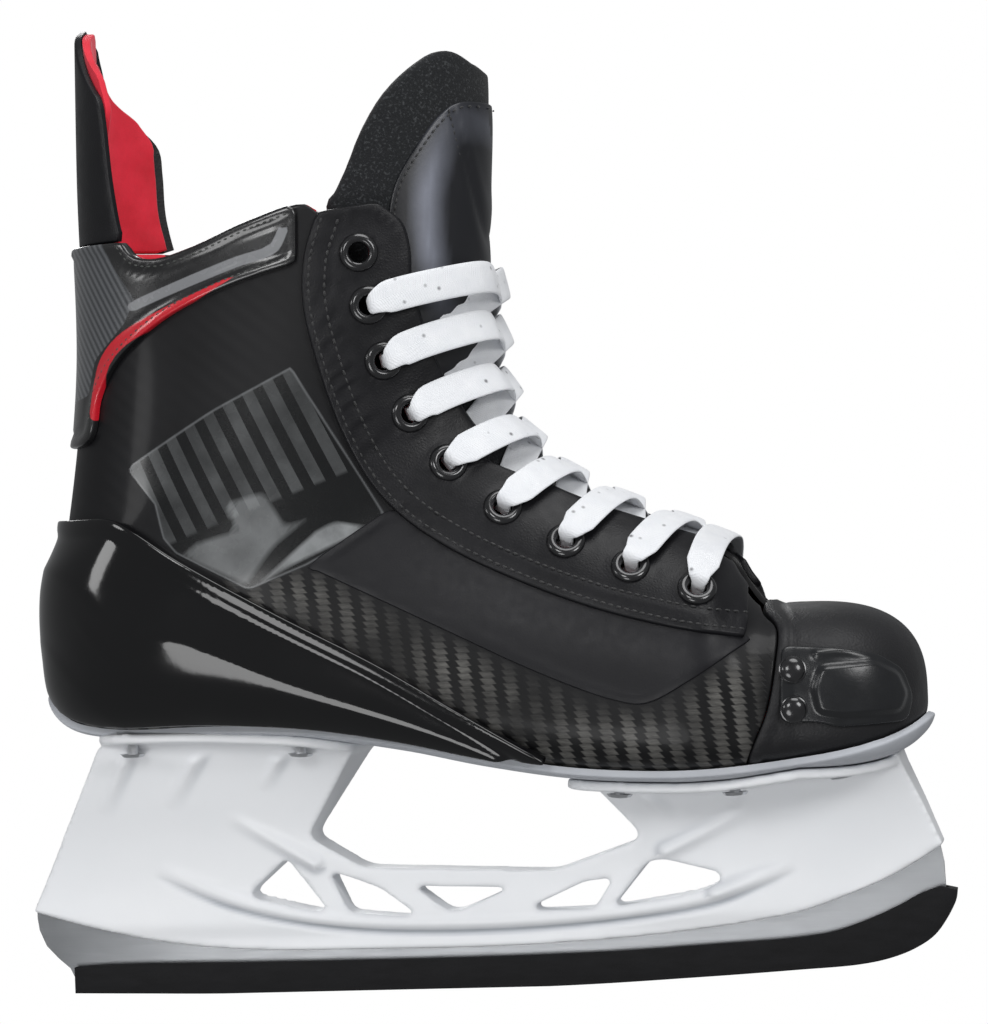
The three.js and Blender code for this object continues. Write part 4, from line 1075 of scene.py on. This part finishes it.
def cup_relief(points, edge_distance):
    top = line_distance(points, heel_cup_top)[0]
    rim = 1.0 * np.clip((5.4 - top) / 1.8, 0, 1)
    under, _ = below(points, CUP_CREST)
    depth = np.maximum(top - 4.6, 0)
    slope = 2.6 * depth / np.maximum(depth + np.maximum(-under, 0), 1)
    crest = np.where(under < 0, slope, np.maximum(2.6 - under * 0.1, 0.3))
    crease, _ = below(points, CUP_CREASE)
    spur, share = below(points, CUP_SPUR)
    ridge = 0.5 * np.clip(1 - np.abs(spur) / 1.6, 0, 1) * np.clip(share * 5, 0, 1)
    height = np.maximum(rim, crest * np.clip(depth / 1.5, 0, 1))
    return height - np.clip(crease, 0, 18) * 0.11 + ridge * (1 - share)


def cup_field(points):
    return np.minimum(inside(points, heel_cup_outline), over_keel(points) - CUP_FOOT)


heel_cup = panel("heel_cup", cup_field, CLEARANCE, CLEARANCE + CUP, 0.8, 4, relief=cup_relief,
                 fine=0.75)
change(heel_cup, "SMOOTH", factor=0.5, iterations=8)

gloss = Finish("black_gloss", Specular_IOR_Level=0.5)
haze = gloss.noise(30, 3)
gloss.set(
    Base_Color=gloss.mix(haze, (0.002, 0.002, 0.0024), (0.004, 0.004, 0.0046)),
    Roughness=0.05 + 0.06 * haze,
)
gloss.bump(gloss.noise(5, 3), 0.02)
fit(heel_cup, gloss, ["heel_cup"])

# ---- Collar band
# Gloss trim sewn round the ankle collar, with a grey bar and a tapering red flash printed
# under its clear film, and a grey lined field at the back.
collar_bottom = smooth([(-140, 188), (-126, 190), (-121.5, 205), (-114, 216), (-96, 229),
                        (-72, 239), (-49, 245.5)])
collar_outline = np.array([
    (-48.5, 262), (-48.5, 264.6), *[p for p in collar_top if p[0] < -48.5], (-180, 255.9),
    (-180, 188), *collar_bottom])
GREY_BAR = smooth([(-107, 234), (-69.7, 246.6), (-56.5, 250.6), (-53, 256.5)])
RED_FLASH = smooth([(-69.8, 242.3), (-85.8, 235.0), (-97.6, 229.6), (-112.7, 222), (-119.3, 214.5),
                    (-122.9, 199)])
GREY_FIELD = np.array([(-106, 236.5), (-113, 247), (-121, 262), (-150, 262), (-150, 200),
                       (-126, 205), (-122.5, 217), (-110, 228.5)])


def grey_bar(points):
    return 1.7 - line_distance(points, GREY_BAR)[0]


def red_flash(points):
    distance, share, _ = line_distance(points, RED_FLASH)
    return 0.3 + 2.0 * np.clip(share * 2.2, 0, 1) - distance


band_marks = {"bar": grey_bar, "flash": red_flash, "field": lambda p: inside(p, GREY_FIELD)}
band = Finish("collar_print", Coat_Weight=0.5, Coat_Roughness=0.1)
lines = ((band.axis("X") * 0.9 + band.axis("Z") * 0.5) * 3.1).sine() * 0.5 + 0.5
lined = band.mix(lines, (0.03, 0.033, 0.037), (0.105, 0.11, 0.118))
black = band.mix(band.noise(12, 4), (0.004, 0.004, 0.0045), (0.01, 0.01, 0.011))
ink = band.mix((band.mark("field") * 3).held(), black, lined)
ink = band.mix((band.mark("bar") * 3 + 0.5).held(), ink, (0.2, 0.205, 0.215))
ink = band.mix((band.mark("flash") * 3 + 0.5).held(), ink, (0.55, 0.008, 0.02))
band.set(Base_Color=ink, Roughness=0.2 + 0.14 * band.noise(4, 3))
band.bump(band.noise(2.5, 3), 0.04)


def collar_relief(points, edge_distance):
    return 0.7 * bead(edge_distance, 1.6, 1.3) - 0.45 * bead(edge_distance, 4.4, 0.55)


collar = panel("collar_band", lambda p: inside(p, collar_outline), CLEARANCE, OVERLAID, 0.9,
               relief=collar_relief, marks=band_marks)
fit(collar, band, ["collar_band"])

# ---- Facings
# The stitched eyelet rows: smooth black synthetic leather folded over a stiffener, double sewn
# along the rear edge, where a corded piping stands up between the two rows.
throat_front = np.array([(86, 144.5), (91.5, 140), (94.6, 134), (95.6, 126), (95.4, 118)])
facing_rear = smooth(
    [(94.5, 116.8), (73, 120.5), (47, 127.5), (21, 137.5), (-2, 149), (-18, 160.5), (-28, 172),
     (-36, 188), (-43, 210), (-47.5, 232), (-46.5, 248), (-42, 261.5)])
facing_outline = np.array([
    *smooth(throat_front, 4), *facing_rear, (-42, 262), *throat_edge, (40, 200), (86, 170)])
SEAMS, CORD = (2.3, 7.6), 5.2  # how far in from the rear edge they run


def facing_relief(points, edge_distance):
    rear = line_distance(points, facing_rear)[0]
    sewn = -0.4 * sum(bead(rear, seam, 0.5) for seam in SEAMS)
    return 0.55 * bead(rear, CORD, 1.0) + sewn + 0.3 * bead(edge_distance, 1.6, 1.2)


leather = Finish("black_synthetic", Specular_IOR_Level=0.22)
creases = leather.cells(1.1, feature="DISTANCE_TO_EDGE")
mottle = leather.noise(16, 4)
leather.set(
    Base_Color=leather.mix(mottle, (0.004, 0.004, 0.005), (0.0115, 0.0115, 0.0135)),
    Roughness=0.28 + 0.22 * leather.noise(4, 4),
)
leather.bump((creases * 2.2).held() * 0.6 + leather.noise(12, 2) * 3.0, 0.05)
for name in SIDE:
    field = one_side(name, facing_outline, 2, throat, eyelet_room(name))
    facing = panel(f"facing_{name}", field, CLEARANCE, OVERLAID, 0.9, relief=facing_relief)
    fit(facing, leather, [f"facing_{name}"])

# ---- Eyelets
# Pressed brass eyelets in gloss black enamel, set through the facing. The rolled flange stands
# on the leather, and the barrel turns down into the hole.
RING = [(3.4, -4.5), (3.25, -1), (3.3, 0.7), (3.6, 1.35), (4.2, 1.7), (5.1, 1.65), (5.9, 1.25),
        (6.4, 0.65), (6.5, 0.1), (6.2, -0.2), (4.2, -0.3), (4.1, -4.5), (3.4, -4.5)]
for name in SIDE:
    fasten(f"eyelet_{name}", RING, eyelet_seats[name])

# ---- Stitching
# Bonded nylon thread, pulled down into its own grooves: two rows beside the facing's cord, and
# one along each edge of the collar band.


def evenly(line, pitch):
    """Points at an even pitch along a side-view line."""
    line = np.asarray(line, float)
    run = np.concatenate([[0], np.cumsum(np.linalg.norm(np.diff(line, axis=0), axis=1))])
    at = np.arange(pitch / 2, run[-1], pitch)
    return np.column_stack([np.interp(at, run, line[:, k]) for k in (0, 1)])


def beside(line, distance):
    """A side-view line moved to its left."""
    way = np.gradient(np.asarray(line, float), axis=0)
    way /= np.linalg.norm(way, axis=1)[:, None]
    return line + np.column_stack([-way[:, 1], way[:, 0]]) * distance


def tube(first, rings, count):
    """Faces of a closed tube of `rings` rings of `count` points, numbered from `first`."""
    faces = []
    last = first + (rings - 1) * count
    for low in range(first, last, count):
        high = low + count
        faces += [(low + m, low + (m + 1) % count, high + (m + 1) % count, high + m)
                  for m in range(count)]
    return [*faces, list(range(first, first + count))[::-1], list(range(last, last + count))]


def stitches(name, lines, offset, finish, pitch=2.7, length=1.9, width=0.42, body="skate"):
    """One piece of short raised stitches along side-view lines on both sides of the boot."""
    around = np.linspace(0, 2 * np.pi, 6, endpoint=False)
    profile = [(-1, 0.35), (-0.6, 0.9), (0, 1.0), (0.6, 0.9), (1, 0.35)]
    vertices, faces = [], []
    for line in lines:
        for side in SIDE.values():
            at, normals = on_side(evenly(line, pitch), offset, side)
            ahead = np.gradient(at, axis=0)
            ahead /= np.linalg.norm(ahead, axis=1)[:, None]
            across = np.cross(normals, ahead)
            for p, n, a, c in zip(at, normals, ahead, across):
                faces += tube(len(vertices), len(profile), len(around))
                for along, size in profile:
                    for angle in around:
                        vertices.append(p + a * along * length / 2
                                        + c * math.cos(angle) * width * size
                                        + n * math.sin(angle) * width * size)
    piece = face_out(make(name, vertices, faces, 80))
    return fit(piece, finish, body=body)


thread = Finish("black_thread", Roughness=0.55, Sheen_Weight=0.2)
thread.set(Base_Color=thread.mix(thread.noise(0.6, 3), (0.005, 0.005, 0.0055), (0.02, 0.02, 0.021)))
stitches("facing_stitching", [beside(facing_rear, -seam) for seam in SEAMS], OVERLAID, thread)
pale_thread = Finish("grey_thread", Roughness=0.6)
pale_thread.set(
    Base_Color=pale_thread.mix(pale_thread.noise(5, 3), (0.02, 0.022, 0.02), (0.1, 0.105, 0.1)))
stitches("collar_stitching",
         [beside([p for p in collar_top if p[0] < -50], 2.6), beside(collar_bottom[6:], 2.4)],
         OVERLAID + 0.3, pale_thread, 2.4, 1.3, 0.34)

# ---- Liners
# Ankle foam faced with brushed red microfibre, glued inside each quarter. The nap lies in
# patches, so it catches the light unevenly.
tongue_rear = smooth(
    [(-40.5, 266.5), (-38.5, 252), (-37.5, 236), (-34, 218), (-27.5, 200), (-17.5, 183.5),
     (-2, 167.5), (18, 153), (46, 140), (73, 130), (97, 115.5)])
liner_outline = np.array([
    *(tongue_rear - (3, 0))[::-1], *collar_top[4:], (-180, 255.9), (-180, 60), (95, 60)])
LINER = 4
red = Finish("red_lining", Sheen_Weight=0.5, Sheen_Roughness=0.4, Sheen_Tint=(1.0, 0.55, 0.6))
nap = red.noise(9, 5)
red.set(
    Base_Color=red.mix((nap * 1.5 - 0.2).held(), (0.6, 0.006, 0.022), (0.86, 0.022, 0.055)),
    Roughness=0.55 + 0.35 * red.noise(3, 4),
)
red.bump(red.noise(0.5, 4) * 0.6 + nap, 0.1)
for name in SIDE:
    field = one_side(name, liner_outline, CLEARANCE / 2, lambda p: over_keel(p) - 12)
    liner = panel(f"liner_{name}", field, LINED - LINER, LINED, 1.8, 5, inward=True,
                  relief=crown(0.5, 6, 0.2))
    fit(liner, red, [f"liner_{name}"])

# ---- Tongue
# Two layers of dense grey felt, shaped over the shin, with a sewn panel of glossy synthetic
# down its front. The lower part is laced in, and the flap stands above the facings.
FELT_OUT, FELT, PATENT = -6.4, 6, 1.5  # the height of the felt's front, and two thicknesses
flap_outline = smooth(
    [(-37.5, 268.3), (-33, 277), (-27, 290), (-19, 302), (-9, 311), (-1, 315.5), (4, 315.2),
     (14, 308.5), (30, 302)])
tongue_outline = np.array([*tongue_rear[::-1], *flap_outline, (60, 302), (60, 230), (108, 150),
                           (108, 118)])
felt = Finish("grey_felt", Roughness=0.95, Sheen_Weight=0.08, Specular_IOR_Level=0.2)
fibres = felt.noise(0.5, 5)
specks = (felt.noise(0.9, 4) * 5 - 2.7).held()
felt.set(
    Base_Color=felt.mix(
        (specks * 0.55 + fibres * 0.2).held(), (0.006, 0.0065, 0.0075), (0.085, 0.09, 0.095)))
felt.bump(fibres + felt.noise(3, 4), 0.22)
tongue = panel("tongue", lambda p: inside(p, tongue_outline), FELT_OUT - FELT, FELT_OUT, 2.2, 6,
               relief=crown(0.9, 5, 0.9))
fit(tongue, felt, ["tongue_lower", "tongue_upper"], body=None)

panel_rear = smooth([(-14, 205), (-18.5, 232), (-20.2, 250), (-19.1, 263.8), (-16.7, 272.1),
                     (-9.7, 283.9), (-2.1, 294), (3.5, 298.2), (14, 298.9), (30, 299)])
tongue_panel_outline = np.array([*panel_rear, (60, 299), (60, 205)])
TONGUE_SEAM = smooth([(1.5, 296.5), (4.5, 278), (8, 254), (11, 236)])


def tongue_panel_relief(points, edge_distance):
    seam = line_distance(points, TONGUE_SEAM)[0]
    groove = 0.35 * bead(seam, 2.0, 1.0) - 0.5 * bead(seam, 0, 0.6)
    return groove + crown(0.8, 6, 0.3)(points, edge_distance)


def panel_middle(points):
    """1 down the middle of the panel's side, fading to 0 at its seams: where a painted sheen
    lightens the panel.
    """
    rear = line_distance(points, panel_rear)[0]
    front = line_distance(points, TONGUE_SEAM)[0]
    low = np.clip((points[..., 2] - 222) / 25, 0, 1) * np.clip((300 - points[..., 2]) / 30, 0, 1)
    middle = np.clip(1 - np.abs(rear - front * 0.8) / 11, 0, 1) * low
    return middle * (points[..., 0] < 11)


patent = Finish("tongue_gloss", Coat_Weight=0.1, Coat_Roughness=0.3)
cloud = patent.noise(14, 5, (1.4, 1, 0.6))
# Painted sheen: the middle of the panel's side is coloured lighter blue-grey.
painted_sheen = (patent.mark("middle") * (0.35 + 0.9 * cloud)).held()
patent.set(
    Base_Color=patent.mix(painted_sheen, (0.005, 0.0055, 0.008), (0.24, 0.255, 0.31)),
    Roughness=0.3 + 0.16 * cloud,
)
patent.bump(patent.noise(1.4, 4) * 0.5 + patent.noise(9, 3), 0.06)
sunk = FELT_OUT - 0.2
tongue_panel = panel(
    "tongue_panel", lambda p: inside(p, tongue_panel_outline), sunk, sunk + PATENT, 0.6,
    relief=tongue_panel_relief, marks={"middle": panel_middle})
fit(tongue_panel, patent, ["tongue_shell"], body=None)
tongue_stitching = stitches(
    "tongue_stitching", [beside(panel_rear[20:66], -1.7), beside(TONGUE_SEAM, -1.3)],
    sunk + PATENT + 0.3, thread, 2.4, 1.6, 0.35, body=None)
for piece in (tongue, tongue_panel, tongue_stitching):
    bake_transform(piece)

# ---- Tendon guard
# The quarters end in a flexible moulded flap over the tendon, lined with a pad of the same red
# microfibre. Its black edge shows round the pad.
PAD = 3
TENDON_FRONT = {
    "outer": smooth([(-111.5, 256.3), (-113.5, 266), (-115.5, 280), (-117.5, 300), (-121, 314),
                     (-124.6, 328), (-124.6, 340)]),
    "inner": smooth([(-109.5, 256.3), (-112, 270), (-112.5, 284), (-113.5, 293), (-120, 301),
                     (-127, 309), (-129, 320), (-130.5, 340)]),
}
tendon_sides = smooth([(44, 240), (43, 262), (41, 280), (37, 293), (29, 306), (20, 318), (10, 328),
                       (0.2, 332)])
SPADE = np.array([*tendon_sides, (0, 340), (-60, 340), (-60, 240)])


def tendon_field(drop, lead):
    """The flap's shape: `drop` lowers its top edge, and `lead` draws its upper sides forward."""
    def field(points):
        forward = lead * np.clip((points[..., 2] - 290) / 12, 0, 1)
        points = points - np.stack([forward, 0 * forward, 0 * forward], -1)
        y, z = np.abs(points[..., 1]), points[..., 2] + drop
        shapes = [inside(points, np.array([(-180, 256.3), *front, (-180, 340)]))
                  for front in TENDON_FRONT.values()]
        side_view = np.where(points[..., 1] < 0, *shapes)
        return np.minimum(side_view, inside(np.stack([y, y, z], -1), SPADE))
    return field


tendon = panel("tendon_guard", tendon_field(0, 0), -SHELL, 0, 0.9)
fit(tendon, leather, ["tendon_guard"], body=None)
tendon_pad = panel("tendon_pad", tendon_field(1, 4), LINED - PAD, LINED, 1.0, 5, inward=True,
                   relief=crown(0.8, 6, 0.2))
fit(tendon_pad, red, ["tendon_liner"], body=None)
for piece in (tendon, tendon_pad):
    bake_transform(piece)

# ---- Lace
# Flat tubular polyester, pressed out to 11 mm, white with dark tracer flecks. It goes straight
# across between the lowest eyelets and criss-crosses up to the pair below the top one, through
# each eyelet from the outside, and it bunches where it passes through.
LACE_WIDTH, LACE_WALL, LACE_PINCH = 11, 1.2, 4.8
# From one eyelet at -1 over the middle at 0 to the next at 1, and the height above the last.
LACE_RISE = [(-0.95, -4.4), (-0.6, -4.8), (-0.4, -4.5), (-0.25, -3.6), (-0.05, -1.6), (0.3, 3.8),
             (0.6, 5.6), (0.95, 6.2)]


def crossing(first, second, side, rise):
    """Points of a pass from one eyelet to the one above it on the other side."""
    (s0, s1), _ = locate([first, second], 0)
    row = section(np.array([s0, s1]), 0)
    line = row[:, 0:2] - row[:, 2:4]
    share = ((np.array([first, second]) - row[:, 2:4]) * line).sum(1) / (line**2).sum(1)
    height = np.clip((share - row[:, 6]) / (1 - row[:, 6]), 0, 1)
    across = np.arcsin(height ** (row[:, 8] / 2)) * 2 / np.pi
    start, end = side * (1 - across[0]), -side * (1 - across[1])
    route = []
    for g, offset in rise:
        edge = -start * g if g < 0 else end * g
        here = section(np.array(s0 + (s1 - s0) * (g + 1) / 2), offset)
        angle = (1 - abs(edge)) * np.pi / 2
        power = 2 / here[8]
        share = here[6] + (1 - here[6]) * math.sin(angle) ** power
        hand = 1 if edge >= 0 else -1
        y = here[5 if hand > 0 else 4] * max(math.cos(angle), 0) ** power * hand
        route.append((here[2] + (here[0] - here[2]) * share, y,
                      here[3] + (here[1] - here[3]) * share))
    return route


def through(place, side, offsets):
    """Points straight through an eyelet, at heights above the last."""
    at, normal = (value[0] for value in on_side([place], 0, side))
    return [at + normal * offset for offset in offsets]


def ribbon(points, up):
    """Rings of a flat ribbon with rounded edges, how far along and across it each point lies,
    and the number of points in a ring."""
    path = smooth(points, 9)
    run = np.concatenate([[0], np.cumsum(np.linalg.norm(np.diff(path, axis=0), axis=1))])
    ahead = np.gradient(path, axis=0)
    ahead /= np.linalg.norm(ahead, axis=1)[:, None]
    from_end = np.minimum(run, run[-1] - run)
    width = np.minimum(LACE_WIDTH, LACE_PINCH + np.maximum(from_end - 3, 0) * 0.75) / 2
    wall = LACE_WALL / 2 * (1 + 0.9 * (1 - width * 2 / LACE_WIDTH))
    wide = np.array(up) - ahead * (ahead @ np.array(up))[:, None]
    wide /= np.linalg.norm(wide, axis=1)[:, None]
    thick = np.cross(ahead, wide)
    profile = [(math.copysign(abs(math.cos(a)) ** 0.45, math.cos(a)),
                math.copysign(abs(math.sin(a)) ** 0.8, math.sin(a)))
               for a in np.linspace(0, 2 * np.pi, 20, endpoint=False)]
    rings, lengths, widths = [], [], []
    for p, w, t, half, skin, along in zip(path, wide, thick, width, wall, run):
        wave = 0.25 * math.sin(along * 0.9)
        for across, up_share in profile:
            bow = 0.5 * (1 - across**2)
            rings.append(p + w * across * half + t * (up_share * skin + bow * wave))
            lengths.append(along)
            widths.append(across * half)
    return np.array(rings), lengths, widths, len(profile)


laced = EYELET_PLACES[:0:-1]
passes = []
for first, second in zip(laced, laced[1:]):
    up = Vector((second[0] - first[0], 0, second[1] - first[1])).normalized()
    for side in (-1, 1):
        passes.append(ribbon([
            *through(first, side, [0, -3.2]), *crossing(first, second, side, LACE_RISE),
            *through(second, -side, [5, 0])], up))
over = [pair for pair in LACE_RISE if pair[0] >= 0]
passes.append(ribbon([
    *through(laced[0], -1, [0, 5]), *crossing(laced[0], laced[0], 1, over[:0:-1]),
    *crossing(laced[0], laced[0], -1, over), *through(laced[0], 1, [5, 0])], (-0.9, 0, 0.4)))
vertices, lengths, widths, faces = [], [], [], []
for rings, run, across, count in passes:
    faces += tube(len(vertices), len(rings) // count, count)
    vertices += list(rings)
    lengths += run
    widths += across
lace = face_out(make("lace", vertices, faces, 60))
carry(lace, "run", lengths)
carry(lace, "across", widths)

weave = Finish("white_lace", Roughness=0.8, Sheen_Weight=0.3)
run, across = weave.mark("run"), weave.mark("across")
plait = ((run + across.size()) * 7.5).sine() * (across * 5.2).sine()
fleck = (weave.cells(6.5) * -9 + 1.35).held()
tint = weave.mix(weave.noise(6, 4), (0.74, 0.76, 0.8), (0.9, 0.91, 0.93))
weave.set(Base_Color=weave.mix(fleck * 0.85, tint, (0.06, 0.06, 0.065)))
weave.bump(plait * 0.5 + weave.noise(0.7, 3) * 0.6, 0.14)
fit(lace, weave, ["lace"])
